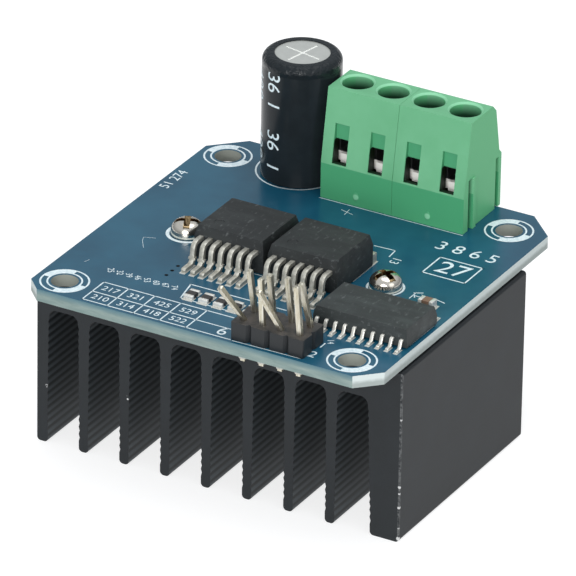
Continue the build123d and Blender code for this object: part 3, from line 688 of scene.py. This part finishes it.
def copy_of(node, name, whole=True):
    """A new object copied from a CAD node, its triangles merged into whole faces or quads."""
    activate(frame["nodes"][node])
    bpy.ops.object.duplicate()
    piece = last_made(name)
    bpy.ops.object.parent_clear(type="CLEAR_KEEP_TRANSFORM")
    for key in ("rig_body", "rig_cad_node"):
        if key in piece:
            del piece[key]
    bpy.ops.mesh.customdata_custom_splitnormals_clear()
    edit(piece, "SELECT")
    bpy.ops.mesh.remove_doubles(threshold=0.001 * MM)
    flat = math.radians(1)
    if whole:
        bpy.ops.mesh.dissolve_limited(angle_limit=flat)
    else:
        any_shape = math.radians(180)
        bpy.ops.mesh.tris_convert_to_quads(face_threshold=flat, shape_threshold=any_shape)
    bpy.ops.object.mode_set(mode="OBJECT")
    return piece


def modify(piece, kind, **settings):
    """Add a modifier with its settings and apply it."""
    activate(piece)
    bpy.ops.object.modifier_add(type=kind)
    added = piece.modifiers[-1]
    for name, value in settings.items():
        setattr(added, name, value)
    bpy.ops.object.modifier_apply(modifier=added.name)


def soften(piece, width_mm, angle=30):
    """Round the edges of a piece that are sharper than an angle."""
    modify(
        piece,
        "BEVEL",
        width=width_mm * MM,
        segments=2,
        limit_method="ANGLE",
        angle_limit=math.radians(angle),
        miter_outer="MITER_ARC",
    )


def join(pieces, name):
    """Join several objects into one."""
    activate(pieces[0])
    for piece in pieces[1:]:
        piece.select_set(True)
    bpy.ops.object.join()
    return last_made(name)


def finish_piece(piece, material, node=None, body="module", smooth=35):
    """Apply a piece's place, shade it, and hand it to the frame, for a CAD node if one is named."""
    activate(piece)
    bpy.ops.object.transform_apply(location=True, rotation=True, scale=True)
    bpy.ops.object.shade_smooth_by_angle(angle=math.radians(smooth))
    modify(piece, "WEIGHTED_NORMAL", keep_sharp=True)
    piece.data.materials.clear()
    piece.data.materials.append(material)
    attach(piece, body)
    if node:
        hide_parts(node)


def dress(node, name, material, width_mm, angle=30, body="module"):
    """Replace a CAD node by a copy of it with rounded edges and its finished material."""
    piece = copy_of(node, name)
    soften(piece, width_mm, angle)
    finish_piece(piece, material, node, body)


def paint(node, material):
    """Give a CAD node's object a finished material."""
    slots = frame["nodes"][node].material_slots
    for slot in slots:
        slot.material = material
    if not slots:
        raise RuntimeError(f"{node} has no material slot")


def flat_bar(start, end, width, z):
    """Flat strip of print between two points in millimetres."""
    run = Vector((end[0] - start[0], end[1] - start[1]))
    bpy.ops.mesh.primitive_plane_add(
        size=1,
        location=((start[0] + end[0]) / 2 * MM, (start[1] + end[1]) / 2 * MM, z),
        rotation=(0, 0, math.atan2(run.y, run.x)),
    )
    bar = bpy.context.object
    bar.scale = ((run.length + width) * MM, width * MM, 1)
    return bar


def flat_path(points, width, z):
    """Flat strips of print along several points."""
    return [flat_bar(a, b, width, z) for a, b in zip(points, points[1:])]


def flat_ring(centre, inner, outer, z, quadrants=(0, 1, 2, 3)):
    """Flat printed ring, or the quadrants of it that are named from 0 to 3."""
    bpy.ops.mesh.primitive_circle_add(
        vertices=64,
        radius=outer * MM,
        fill_type="NGON",
        location=(centre[0] * MM, centre[1] * MM, z),
    )
    ring = bpy.context.object
    edit(ring, "SELECT")
    bpy.ops.mesh.inset(thickness=(outer - inner) * MM)
    bpy.ops.mesh.delete(type="FACE")
    if len(quadrants) < 4:

        def outside(face):
            angle = math.degrees(math.atan2(face.center.y, face.center.x)) % 360
            return int(angle // 90) not in quadrants

        pick(ring, "polygons", outside)
        bpy.ops.mesh.delete(type="FACE")
    bpy.ops.object.mode_set(mode="OBJECT")
    return ring


def flat_text(body, place, rotation, height):
    """Printed number of a height in millimetres as a flat mesh, centred on a place in metres."""
    digit_share = 0.7  # height of a digit in a font of size 1
    bpy.ops.object.text_add(location=place, rotation=rotation)
    text = bpy.context.object
    text.data.body = body
    text.data.size = height * MM / digit_share
    text.data.align_x = "CENTER"
    text.data.align_y = "CENTER"
    bpy.ops.object.convert(target="MESH")
    return bpy.context.object


# Sizes and colours that a user would change


class BoardLook(bpy.types.PropertyGroup):
    """Board and print"""

    mask_colour: bpy.props.FloatVectorProperty(
        name="Mask",
        description="Colour of the solder mask",
        subtype="COLOR",
        default=linear("#114a62"),
    )
    mask_over_copper: bpy.props.FloatVectorProperty(
        name="Mask over copper",
        description="Colour of the solder mask where copper lies under it",
        subtype="COLOR",
        default=linear("#1a566e"),
    )
    edge_colour: bpy.props.FloatVectorProperty(
        name="Edge",
        description="Colour of the sawn board edge",
        subtype="COLOR",
        default=linear("#778b88"),
    )
    edge_masked: bpy.props.FloatVectorProperty(
        name="Edge, masked",
        description="Colour of the edge under mask",
        subtype="COLOR",
        default=linear("#567983"),
    )
    edge_fibre: bpy.props.FloatVectorProperty(
        name="Edge fibre",
        description="Colour of bare glass fibre",
        subtype="COLOR",
        default=linear("#93a39e"),
    )
    torn_low: bpy.props.FloatVectorProperty(
        name="Torn edge, low",
        description="Colour of the lower half of the side edges",
        subtype="COLOR",
        default=linear("#a3aca9"),
    )
    torn_high: bpy.props.FloatVectorProperty(
        name="Torn edge, high",
        description="Colour of the upper half of the side edges",
        subtype="COLOR",
        default=linear("#d3dcda"),
    )
    print_height: bpy.props.FloatProperty(
        name="Print height",
        description="How far the print stands off the mask",
        unit="LENGTH",
        default=0.012 * MM,
    )


class HeatsinkLook(bpy.types.PropertyGroup):
    """Heatsink"""

    coat_dark: bpy.props.FloatVectorProperty(
        name="Coat, dark",
        description="Darker tone of the anodised coat",
        subtype="COLOR",
        default=linear("#171b1e"),
    )
    coat_light: bpy.props.FloatVectorProperty(
        name="Coat, light",
        description="Lighter tone of the anodised coat",
        subtype="COLOR",
        default=linear("#1c2125"),
    )
    # Painted highlight on the crests of the fin ridges
    crest_painted_highlight: bpy.props.FloatVectorProperty(
        name="Ridge crest",
        description="Colour of the ridges' crests",
        subtype="COLOR",
        default=linear("#474e52"),
    )
    # Painted shade in the grooves between the fin ridges
    groove_painted_shade: bpy.props.FloatVectorProperty(
        name="Ridge groove",
        description="Colour of the grooves",
        subtype="COLOR",
        default=linear("#191d20"),
    )
    first_ridge: bpy.props.FloatProperty(
        name="First ridge",
        description="From the heatsink's top to the first ridge",
        unit="LENGTH",
        default=5.63 * MM,
    )
    ridge_pitch: bpy.props.FloatProperty(
        name="Ridge pitch",
        description="Distance between ridges on a fin",
        unit="LENGTH",
        default=0.985 * MM,
    )
    ridge_depth: bpy.props.FloatProperty(
        name="Ridge depth",
        description="Depth of the grooves between ridges",
        unit="LENGTH",
        default=0.13 * MM,
    )
    ridge_count: bpy.props.IntProperty(
        name="Ridges", description="Grooves on each fin face", default=16
    )
    nick_size: bpy.props.FloatProperty(
        name="Nick size", description="Size of the bare nicks", default=1.0
    )


class ScrewLook(bpy.types.PropertyGroup):
    """Heatsink screws"""

    turn_left: bpy.props.FloatProperty(
        name="Left turn",
        description="Turn of the left screw's recess",
        subtype="ANGLE",
        default=math.radians(25),
    )
    turn_right: bpy.props.FloatProperty(
        name="Right turn",
        description="Turn of the right screw's recess",
        subtype="ANGLE",
        default=math.radians(62),
    )
    recess_length: bpy.props.FloatProperty(
        name="Recess length",
        description="Length of the recess's arms",
        unit="LENGTH",
        default=3.3 * MM,
    )
    recess_width: bpy.props.FloatProperty(
        name="Recess width",
        description="Width of the recess's arms",
        unit="LENGTH",
        default=0.8 * MM,
    )
    recess_depth: bpy.props.FloatProperty(
        name="Recess depth",
        description="Depth of the recess below the top of the head",
        unit="LENGTH",
        default=1.35 * MM,
    )
    doming: bpy.props.FloatProperty(
        name="Doming", description="Share of the head's height that is rounded", default=0.72
    )


class TerminalLook(bpy.types.PropertyGroup):
    """Screw terminals"""

    colour: bpy.props.FloatVectorProperty(
        name="Plastic",
        description="Colour of the terminal blocks",
        subtype="COLOR",
        default=linear("#67ad80"),
    )
    colour_light: bpy.props.FloatVectorProperty(
        name="Plastic, light",
        description="Lighter tone of the plastic",
        subtype="COLOR",
        default=linear("#70b589"),
    )
    # Painted light: the tone the ends take for how light falls on them
    ends_painted_light: bpy.props.FloatVectorProperty(
        name="Ends",
        description="Colour of the blocks' plain ends",
        subtype="COLOR",
        default=linear("#63b881"),
    )
    # Painted shade on the foot of the front
    foot_painted_shade: bpy.props.FloatVectorProperty(
        name="Foot",
        description="Colour of the plain foot of the front",
        subtype="COLOR",
        default=linear("#479c6d"),
    )
    crease_height: bpy.props.FloatProperty(
        name="Crease",
        description="Height of the foot up to the sloping front",
        unit="LENGTH",
        default=4.75 * MM,
    )
    slope: bpy.props.FloatProperty(
        name="Slope", description="Setback of the front per height", default=0.159
    )
    gate_height: bpy.props.FloatProperty(
        name="Gate height",
        description="Height of the gate marks on the foot",
        unit="LENGTH",
        default=1.25 * MM,
    )
    recess_plane: bpy.props.FloatProperty(
        name="Recess plane",
        description="From the front to behind the recesses",
        unit="LENGTH",
        default=1.3 * MM,
    )
    pole_pitch: bpy.props.FloatProperty(
        name="Pole pitch",
        description="Distance between poles",
        unit="LENGTH",
        default=5.0 * MM,
    )
    edge_radius: bpy.props.FloatProperty(
        name="Edge radius",
        description="Rounding of the moulded edges",
        unit="LENGTH",
        default=0.08 * MM,
    )


class CapacitorLook(bpy.types.PropertyGroup):
    """Capacitor"""

    stripe_angle: bpy.props.FloatProperty(
        name="Stripe angle",
        description="Where the polarity stripe faces",
        subtype="ANGLE",
        default=math.radians(62),
    )
    stripe_half_angle: bpy.props.FloatProperty(
        name="Stripe half width",
        description="Half of the stripe's width",
        subtype="ANGLE",
        default=math.radians(13),
    )
    mark_half_angle: bpy.props.FloatProperty(
        name="Mark half width",
        description="Half of a minus mark's width",
        subtype="ANGLE",
        default=math.radians(12),
    )
    mark_pitch: bpy.props.FloatProperty(
        name="Mark pitch",
        description="Distance between minus marks",
        unit="LENGTH",
        default=3.0 * MM,
    )
    number_height: bpy.props.FloatProperty(
        name="Number height", description="Height of the numbers in millimetres", default=2.0
    )


class StageLook(bpy.types.PropertyGroup):
    """Camera and floor"""

    distance: bpy.props.FloatProperty(
        name="Camera distance",
        description="From the camera to the point it looks at",
        unit="LENGTH",
        default=0.9736,
    )
    azimuth: bpy.props.FloatProperty(
        name="Azimuth",
        description="Turn of the camera about Z",
        subtype="ANGLE",
        default=math.radians(28.95),
    )
    elevation: bpy.props.FloatProperty(
        name="Elevation",
        description="Height of the camera over the floor",
        subtype="ANGLE",
        default=math.radians(27.33),
    )
    roll: bpy.props.FloatProperty(
        name="Roll",
        description="Turn of the camera about its own axis",
        subtype="ANGLE",
        default=math.radians(1.01),
    )
    lens: bpy.props.FloatProperty(
        name="Lens", description="Focal length in millimetres", default=500.7
    )
    floor_colour: bpy.props.FloatVectorProperty(
        name="Floor",
        description="Colour of the floor as it is seen",
        subtype="COLOR",
        default=linear("#a8a8a8"),
    )
    floor_glow: bpy.props.FloatProperty(
        name="Floor glow", description="Light that the paper adds in view", default=0.72
    )
    floor_bounce: bpy.props.FloatVectorProperty(
        name="Floor bounce",
        description="Colour of the floor as it lights",
        subtype="COLOR",
        default=linear("#b9b9b9"),
    )


# Pieces


# Round lamps: name, place in metres, diameter in metres, power in watts
LAMPS = (
    ("softbox_above", (0.05, 0.10, 0.80), 0.7, 2.4),
    ("softbox_right", (0.70, -0.20, 0.35), 0.5, 0.6),
    ("softbox_front", (0.20, -0.76, 0.28), 0.5, 4.6),
)
CAMERA_TARGET = Vector((0.0004, -0.0007, -0.0024))


class MODULE_OT_stage(bpy.types.Operator):
    """Set the camera, floor and studio light"""

    bl_idname = "module.stage"
    bl_label = "Stage"

    def execute(self, context):
        look = context.scene.module_stage
        turn = (
            Matrix.Rotation(look.azimuth, 4, "Z")
            @ Matrix.Rotation(math.pi / 2 - look.elevation, 4, "X")
            @ Matrix.Rotation(look.roll, 4, "Z")
        )
        place = CAMERA_TARGET + turn @ Vector((0, 0, look.distance))
        deselect_all()
        bpy.ops.object.camera_add(location=place, rotation=turn.to_euler())
        camera = bpy.context.object
        camera.data.lens = look.lens
        camera.data.sensor_width = 36.0
        camera.data.clip_start = 0.05
        camera.data.clip_end = 50.0
        context.scene.camera = camera
        # Floor at the lowest point of the fins
        bpy.ops.mesh.primitive_grid_add(
            x_subdivisions=2, y_subdivisions=2, size=4.0, location=(0, 0, cad_bounds[0][2])
        )
        floor = last_made("floor")
        floor.data.materials.append(pale_sweep())
        for name, place, size, power in LAMPS:
            aim = (Vector((0, 0, 0)) - Vector(place)).to_track_quat("-Z", "Y").to_euler()
            bpy.ops.object.light_add(type="AREA", location=place, rotation=aim)
            lamp = last_made(name)
            lamp.data.shape = "DISK"
            lamp.data.size = size
            lamp.data.energy = power
        # The studio's walls are darker than its ceiling; past the floor the camera sees white
        world = bpy.data.worlds.new("studio")
        world.use_nodes = True
        context.scene.world = world
        tree = world.node_tree
        around = add_node(tree, "TexCoord", output="Generated")
        up = add_node(tree, "SeparateXYZ", (around,), "Z")
        ceiling = add_node(tree, "MapRange", (up, 0.05, 0.6))
        seen = add_node(tree, "LightPath", output="Is Camera Ray")
        studio = coats(tree, "#8b9095", (ceiling, "#d0d4d8"), (seen, "#ffffff"))
        fill(tree, tree.nodes["Background"], {"Color": studio, "Strength": 1.0})
        context.scene.view_settings.view_transform = "Standard"
        return {"FINISHED"}


class MODULE_OT_board(bpy.types.Operator):
    """Finish the board, its lands and the pad under it"""

    bl_idname = "module.board"
    bl_label = "Board"

    def execute(self, context):
        paint("circuit_board", solder_mask_board())
        paint("component_lands", bright_tin("reflowed_solder", "#d6d8d4", 0.3, 0.35))
        paint("thermal_pad", black_rubber())
        return {"FINISHED"}


# The board's legend, in millimetres

# Target round each mounting hole: inner and outer radius of its rings, and the quadrants they have
TARGET_RINGS = ((2.85, 3.08, (0, 1, 2, 3)), (2.0, 2.22, (0, 1, 2, 3)), (2.22, 2.85, (1, 3)))
# Rings round other parts: centre or CAD node, inner and outer radius
PART_RINGS = (
    ((-10.3, 20.8), 5.2, 5.42),
    ("heatsink_screw_left", 2.2, 2.65),
    ("heatsink_screw_right", 2.1, 2.38),
)
# Table at the pins: its columns, its lines with their right ends, and where its two rows stand
TABLE_COLUMNS = (-15.6, -12.15, -8.5, -4.9, -1.25)
TABLE_LINES = ((-17.6, 2.4), (-20.35, 3.5), (-22.7, 4.8))
TABLE_ROWS = (-21.5, -19.0)
TABLE_LINE_WIDTH = 0.17
TABLE_NUMBER_HEIGHT = 1.08
# Numbers: text, centre, height, turn in degrees
NUMBERS = (
    # Row of small turned numbers behind the table
    *((str(25 + 7 * i), (-16.5 + 1.27 * i, -14.5), 0.82, -60) for i in range(8)),
    # Numbers round the header
    ("6", (3.0, -21.35), 1.9, 0),
    ("1", (14.98, -18.36), 1.3, 0),
    ("2", (15.08, -20.97), 1.5, 0),
    ("14", (15.32, -17.0), 0.8, -60),
    # Plain numbers at the right and at the back left
    ("3 8 6 5", (18.2, 11.9), 2.1, 0),
    ("27", (18.9, 6.9), 3.0, 0),
    ("51 274", (-22.3, 10.7), 1.35, 90),
    # Numbers of the right power chip and of the ceramic capacitor
    ("13", (11.74, 5.5), 1.2, -90),
    ("12", (18.4, -0.9), 1.2, -60),
)
# Lines: width, points
PATHS = (
    # Frame round the number at the right
    (0.2, ((16.0, 4.6), (21.8, 4.6), (21.8, 9.2), (16.0, 9.2), (16.0, 4.6))),
    # Frame round the resistors
    (0.18, ((6.8, -12.7), (-6.35, -12.7), (-5.64, -16.4), (1.7, -16.4))),
    # Line along the front of the header, turned up at its end
    (0.15, ((5.19, -22.78), (14.36, -22.59), (14.39, -21.68))),
    # Lines at the power chips, the buffer chip and the ceramic capacitor
    (0.12, ((-1.9, -6.35), (0.9, -6.35))),
    (0.15, ((7.65, 7.74), (10.48, 7.89), (10.62, 6.1))),
    (0.13, ((23.86, -12.96), (23.92, -7.03))),
    (0.13, ((17.95, -2.25), (17.98, -0.55))),
    (0.15, ((20.92, -0.91), (22.18, -1.22))),
    # Plus mark in front of the terminals, and the line along their foot
    (0.08, ((-0.52, 14.16), (1.3, 13.67))),
    (0.08, ((0.46, 13.16), (0.32, 14.67))),
    (0.13, ((-4.43, 15.68), (15.5, 15.68))),
    # Hairline scratches in the mask
    (0.05, ((-17.19, -5.72), (-17.56, -4.84), (-16.17, -4.32))),
    (0.05, ((-17.19, -5.72), (-16.14, -7.27))),
    (0.05, ((-20.37, -14.18), (-20.12, -13.41))),
)
# The print ends just short of the board's back edge
PRINT_END = 24.7


class MODULE_OT_print(bpy.types.Operator):
    """Print the board's legend: rings, frames and plain numbers"""

    bl_idname = "module.print"
    bl_label = "Board print"

    def execute(self, context):
        z = BOARD_TOP + context.scene.module_board.print_height

        def number(body, centre, height, turn):
            place = (centre[0] * MM, centre[1] * MM, z)
            return flat_text(body, place, (0, 0, math.radians(turn)), height)

        marks = []
        for x in (-MOUNT / MM, MOUNT / MM):
            for y in (-MOUNT / MM, MOUNT / MM):
                for inner, outer, quadrants in TARGET_RINGS:
                    marks.append(flat_ring((x, y), inner, outer, z, quadrants))
        # Frame of the table, with a plain number in each cell
        left, front, back = TABLE_COLUMNS[0], TABLE_LINES[-1][0], TABLE_LINES[0][0]
        for x in TABLE_COLUMNS:
            marks += flat_path([(x, back), (x, front)], TABLE_LINE_WIDTH, z)
        for y, right in TABLE_LINES:
            marks += flat_path([(left, y), (right, y)], TABLE_LINE_WIDTH, z)
        for i, (before, after) in enumerate(zip(TABLE_COLUMNS, TABLE_COLUMNS[1:])):
            for row, y in enumerate(TABLE_ROWS):
                centre = ((before + after) / 2, y)
                marks.append(number(str(210 + 104 * i + 7 * row), centre, TABLE_NUMBER_HEIGHT, 0))
        marks += [number(*row) for row in NUMBERS]
        for width, points in PATHS:
            marks += flat_path(points, width, z)
        for centre, inner, outer in PART_RINGS:
            if isinstance(centre, str):
                low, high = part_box(centre)
                centre = (low + high) / 2 / MM
            marks.append(flat_ring(centre, inner, outer, z))
        legend = join(marks, "board_print")
        edit(legend, "SELECT")
        end = (0, PRINT_END * MM, 0)
        bpy.ops.mesh.bisect(plane_co=end, plane_no=(0, 1, 0), clear_outer=True)
        bpy.ops.mesh.normals_make_consistent(inside=False)
        pick(legend, "polygons", lambda face: face.normal.z < 0)
        bpy.ops.mesh.flip_normals()
        finish_piece(legend, printed_ink(), smooth=1)
        return {"FINISHED"}


class MODULE_OT_heatsink(bpy.types.Operator):
    """Model the ridged fins"""

    bl_idname = "module.heatsink"
    bl_label = "Heatsink"

    def execute(self, context):
        look = context.scene.module_heatsink
        piece = copy_of("heatsink", "ridged_heatsink")
        low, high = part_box("heatsink")
        first = high.z - look.first_ridge
        crests = [first - i * look.ridge_pitch for i in range(look.ridge_count + 1)]
        valleys = [z - look.ridge_pitch / 2 for z in crests[:-1]]
        for z in crests + valleys:
            edit(piece, "SELECT", "VERT")
            bpy.ops.mesh.bisect(plane_co=(0, 0, z), plane_no=(0, 0, 1))

        # The grooves go into both sides of each gap between fins, not into the outer faces
        def in_valley(vertex):
            if not low.x + 0.3 * MM < vertex.co.x < high.x - 0.3 * MM:
                return False
            return any(abs(vertex.co.z - z) < 0.01 * MM for z in valleys)

        for side in (-1, 1):
            edit(piece, "DESELECT", "VERT")
            pick(piece, "vertices", lambda v: in_valley(v) and v.normal.x * side > 0.2)
            bpy.ops.transform.translate(value=(-side * look.ridge_depth, 0, 0))
        bpy.ops.object.mode_set(mode="OBJECT")
        finish_piece(piece, black_anodised_aluminium(), "heatsink", smooth=40)
        return {"FINISHED"}


class MODULE_OT_screws(bpy.types.Operator):
    """Model the two domed screws with crossed recesses"""

    bl_idname = "module.screws"
    bl_label = "Heatsink screws"

    def execute(self, context):
        nickel = bright_nickel()
        look = context.scene.module_screws
        for side, turn in (("left", look.turn_left), ("right", look.turn_right)):
            node = "heatsink_screw_" + side
            low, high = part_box(node)
            x, y = (low.x + high.x) / 2, (low.y + high.y) / 2
            height = high.z - BOARD_TOP
            # Head: a cylinder whose upper edge is drawn in to a dome
            deselect_all()
            bpy.ops.mesh.primitive_cylinder_add(
                vertices=64,
                radius=(high.x - low.x) / 2,
                depth=height,
                location=(x, y, BOARD_TOP + height / 2),
            )
            head = last_made("domed_" + node)
            bpy.ops.object.transform_apply(location=True, rotation=True, scale=True)

            def on_top(edge):
                return all(head.data.vertices[i].co.z > high.z - 0.01 * MM for i in edge.vertices)

            edit(head, "DESELECT", "EDGE")
            pick(head, "edges", on_top)
            bpy.ops.mesh.bevel(
                offset=height * look.doming, segments=10, profile=0.5, affect="EDGES"
            )
            bpy.ops.object.mode_set(mode="OBJECT")
            # Recess: two crossed blades that narrow downwards, cut out of the dome
            floor = high.z - look.recess_depth
            blade_height = 1.7 * MM
            blades = []
            for quarter in (0, 90):
                bpy.ops.mesh.primitive_cube_add(
                    size=1,
                    location=(x, y, floor + blade_height / 2),
                    rotation=(0, 0, turn + math.radians(quarter)),
                )
                blade = bpy.context.object
                blade.scale = (look.recess_length, look.recess_width, blade_height)
                bpy.ops.object.transform_apply(location=False, rotation=False, scale=True)
                edit(blade, "DESELECT", "FACE")
                pick(blade, "polygons", lambda face: face.normal.z < -0.5)
                bpy.ops.transform.resize(value=(0.5, 0.5, 1), center_override=(x, y, floor))
                bpy.ops.object.mode_set(mode="OBJECT")
                blades.append(blade)
            for blade in blades:
                modify(head, "BOOLEAN", operation="DIFFERENCE", object=blade, solver="EXACT")
            deselect_all()
            for blade in blades:
                blade.select_set(True)
            bpy.ops.object.delete()
            soften(head, 0.04, angle=40)
            finish_piece(head, nickel, node, smooth=40)
        return {"FINISHED"}


class MODULE_OT_power_chips(bpy.types.Operator):
    """Finish the two power chips"""

    bl_idname = "module.power_chips"
    bl_label = "Power chips"

    def execute(self, context):
        moulding = epoxy_moulding("epoxy_moulding_compound", "#1a1e1f", "#262b2b")
        tin = bright_tin()
        for side in ("left", "right"):
            chip, name = f"bridge_{side}_", f"power_chip_{side}_"
            dress(chip + "body", name + "body", moulding, 0.1)
            dress(chip + "leads", name + "leads", tin, 0.06, angle=50)
            paint(chip + "tab", tin)
        return {"FINISHED"}


class MODULE_OT_buffer_chip(bpy.types.Operator):
    """Finish the signal buffer chip"""

    bl_idname = "module.buffer_chip"
    bl_label = "Buffer chip"

    def execute(self, context):
        moulding = epoxy_moulding("aged_epoxy_moulding_compound", "#282d2d", "#3a4040")
        dress("buffer_body", "small_chip_body", moulding, 0.07)
        tin = bright_tin("bright_tin_plate", "#e6e4dc", 0.26, 0.5)
        dress("buffer_leads", "small_chip_leads", tin, 0.03, angle=50)
        return {"FINISHED"}


class MODULE_OT_header(bpy.types.Operator):
    """Finish the pin header"""

    bl_idname = "module.header"
    bl_label = "Pin header"

    def execute(self, context):
        black = header_thermoplastic()
        dress("header_housing", "header_block", black, 0.05)
        gold = pale_gold_flash()
        dress("header_pins", "square_pins", gold, 0.04, angle=50)
        return {"FINISHED"}


class MODULE_OT_terminals(bpy.types.Operator):
    """Finish the terminal blocks, their clamps and contact bars"""

    bl_idname = "module.terminals"
    bl_label = "Screw terminals"

    def execute(self, context):
        green = green_polyamide()
        zinc = zinc_plate()
        look = context.scene.module_terminals
        for side, first_pole in (("left", 1), ("right", 3)):
            node, name = f"terminal_housing_{side}", f"terminal_block_{side}"
            block = copy_of(node, name, whole=False)
            soften(block, look.edge_radius / MM)
            # Raised gate mark in the middle of the foot
            low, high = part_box(f"clamp_cage_{first_pole}")
            middle = (low.x + high.x + look.pole_pitch) / 2
            front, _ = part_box(node)
            deselect_all()
            bpy.ops.mesh.primitive_uv_sphere_add(
                segments=24,
                ring_count=12,
                radius=0.36 * MM,
                location=(middle, front.y + 0.02 * MM, front.z + look.gate_height),
            )
            mark = bpy.context.object
            mark.scale = (1, 0.3, 1.8)
            finish_piece(join([block, mark], name), green, node)
        for i in range(1, 5):
            screw, cage = f"clamp_screw_{i}", f"clamp_cage_{i}"
            dress(screw, f"slotted_screw_{i}", zinc, 0.06, body=f"screw_{i}")
            dress(cage, f"rising_cage_{i}", zinc, 0.06, body=f"cage_{i}")
        tin = bpy.data.materials["matte_tin_plate"]
        dress("contact_bars", "tinned_bars", tin, 0.05)
        return {"FINISHED"}


# Numbers down the sleeve: the angle that a column faces, then each height in mm and its text
SLEEVE_COLUMNS = (
    (-107, ((14.0, "36"), (10.9, "1"), (6.1, "36"), (2.5, "1"))),
    (-146, ((12.6, "408"), (4.6, "408"))),
)


class MODULE_OT_capacitor(bpy.types.Operator):
    """Finish the electrolytic capacitor"""

    bl_idname = "module.capacitor"
    bl_label = "Capacitor"

    def execute(self, context):
        look = context.scene.module_capacitor
        sleeve = copy_of("capacitor_sleeve", "shrink_sleeve")
        soften(sleeve, 0.05, angle=50)
        finish_piece(sleeve, sleeve_vinyl(), "capacitor_sleeve")
        low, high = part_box("capacitor_sleeve")
        centre = (low + high) / 2
        radius = (high.x - low.x) / 2
        down = Vector((0, 0, -1))
        strip = 0.22 * MM
        numbers = []
        for angle, column in SLEEVE_COLUMNS:
            outward = Vector((math.cos(math.radians(angle)), math.sin(math.radians(angle)), 0))
            across = outward.cross(down)
            turn = Matrix((down, across, outward)).transposed().to_euler()
            for height, body in column:
                foot = Vector((centre.x, centre.y, BOARD_TOP + height * MM))
                place = foot + outward * (radius + 0.4 * MM)
                text = flat_text(body, place, turn, look.number_height)
                # Cut into strips, so that the number can bend round the sleeve
                for step in range(-6, 7):
                    edit(text, "SELECT")
                    bpy.ops.mesh.bisect(plane_co=place + across * step * strip, plane_no=across)
                bpy.ops.object.mode_set(mode="OBJECT")
                modify(
                    text,
                    "SHRINKWRAP",
                    target=sleeve,
                    wrap_method="PROJECT",
                    use_project_z=True,
                    use_negative_direction=True,
                    use_positive_direction=False,
                    wrap_mode="ABOVE_SURFACE",
                    offset=0.012 * MM,
                )
                numbers.append(text)
        ink = bpy.data.materials["white_legend_ink"]
        finish_piece(join(numbers, "sleeve_print"), ink)
        can = copy_of("capacitor_can", "bare_can_top")
        finish_piece(can, spun_aluminium(), "capacitor_can")
        paint("capacitor_bung", bpy.data.materials["black_butyl_rubber"])
        paint("capacitor_leads", bpy.data.materials["matte_tin_plate"])
        return {"FINISHED"}


class MODULE_OT_small_parts(bpy.types.Operator):
    """Finish the chip resistors and the ceramic capacitor"""

    bl_idname = "module.small_parts"
    bl_label = "Small parts"

    def execute(self, context):
        tin = bright_tin("solder_wetted_end", "#efeeea", 0.2, 0.4)
        for node, name, material, slot in (
            ("resistor_bodies", "glazed_resistors", resistor_glaze(), "resistor_black"),
            ("resistor_ends", "resistor_caps", tin, "tinned_copper"),
            ("ceramic_capacitor_body", "ceramic_block", barium_titanate(), "brown_ceramic"),
            ("ceramic_capacitor_ends", "ceramic_caps", tin, "tinned_copper"),
        ):
            dress(node, name, material, 0.06)
        return {"FINISHED"}


class MODULE_OT_solder(bpy.types.Operator):
    """Finish the solder on the underside"""

    bl_idname = "module.solder"
    bl_label = "Solder"

    def execute(self, context):
        solder = bright_tin("bright_solder", "#b3b3ad", 0.18)
        for node in ("header_solder", "terminal_solder", "capacitor_solder"):
            finish_piece(copy_of(node, "smooth_" + node), solder, node, smooth=60)
        return {"FINISHED"}


class MODULE_PT_panel(bpy.types.Panel):
    """Lists the pieces in the order in which they are built"""

    bl_label = "Motor driver module"
    bl_idname = "MODULE_PT_panel"
    bl_space_type = "VIEW_3D"
    bl_region_type = "UI"
    bl_category = "Module"

    def draw(self, context):
        for operator in OPERATORS:
            self.layout.operator(operator.bl_idname)
        for name in LOOKS:
            box = self.layout.box()
            group = getattr(context.scene, name)
            for key in group.__annotations__:
                box.prop(group, key)


LOOKS = {
    "module_board": BoardLook,
    "module_heatsink": HeatsinkLook,
    "module_screws": ScrewLook,
    "module_terminals": TerminalLook,
    "module_capacitor": CapacitorLook,
    "module_stage": StageLook,
}
OPERATORS = (
    MODULE_OT_stage,
    MODULE_OT_board,
    MODULE_OT_print,
    MODULE_OT_heatsink,
    MODULE_OT_screws,
    MODULE_OT_power_chips,
    MODULE_OT_buffer_chip,
    MODULE_OT_header,
    MODULE_OT_terminals,
    MODULE_OT_capacitor,
    MODULE_OT_small_parts,
    MODULE_OT_solder,
)


def register():
    for name, group in LOOKS.items():
        bpy.utils.register_class(group)
        setattr(bpy.types.Scene, name, bpy.props.PointerProperty(type=group))
    for operator in OPERATORS:
        bpy.utils.register_class(operator)
    bpy.utils.register_class(MODULE_PT_panel)


def unregister():
    bpy.utils.unregister_class(MODULE_PT_panel)
    for operator in reversed(OPERATORS):
        bpy.utils.unregister_class(operator)
    for name, group in LOOKS.items():
        delattr(bpy.types.Scene, name)
        bpy.utils.unregister_class(group)


def main():
    """Build every piece in order."""
    register()
    for operator in OPERATORS:
        group, name = operator.bl_idname.split(".")
        getattr(getattr(bpy.ops, group), name)()


if __name__ == "__main__":
    main()
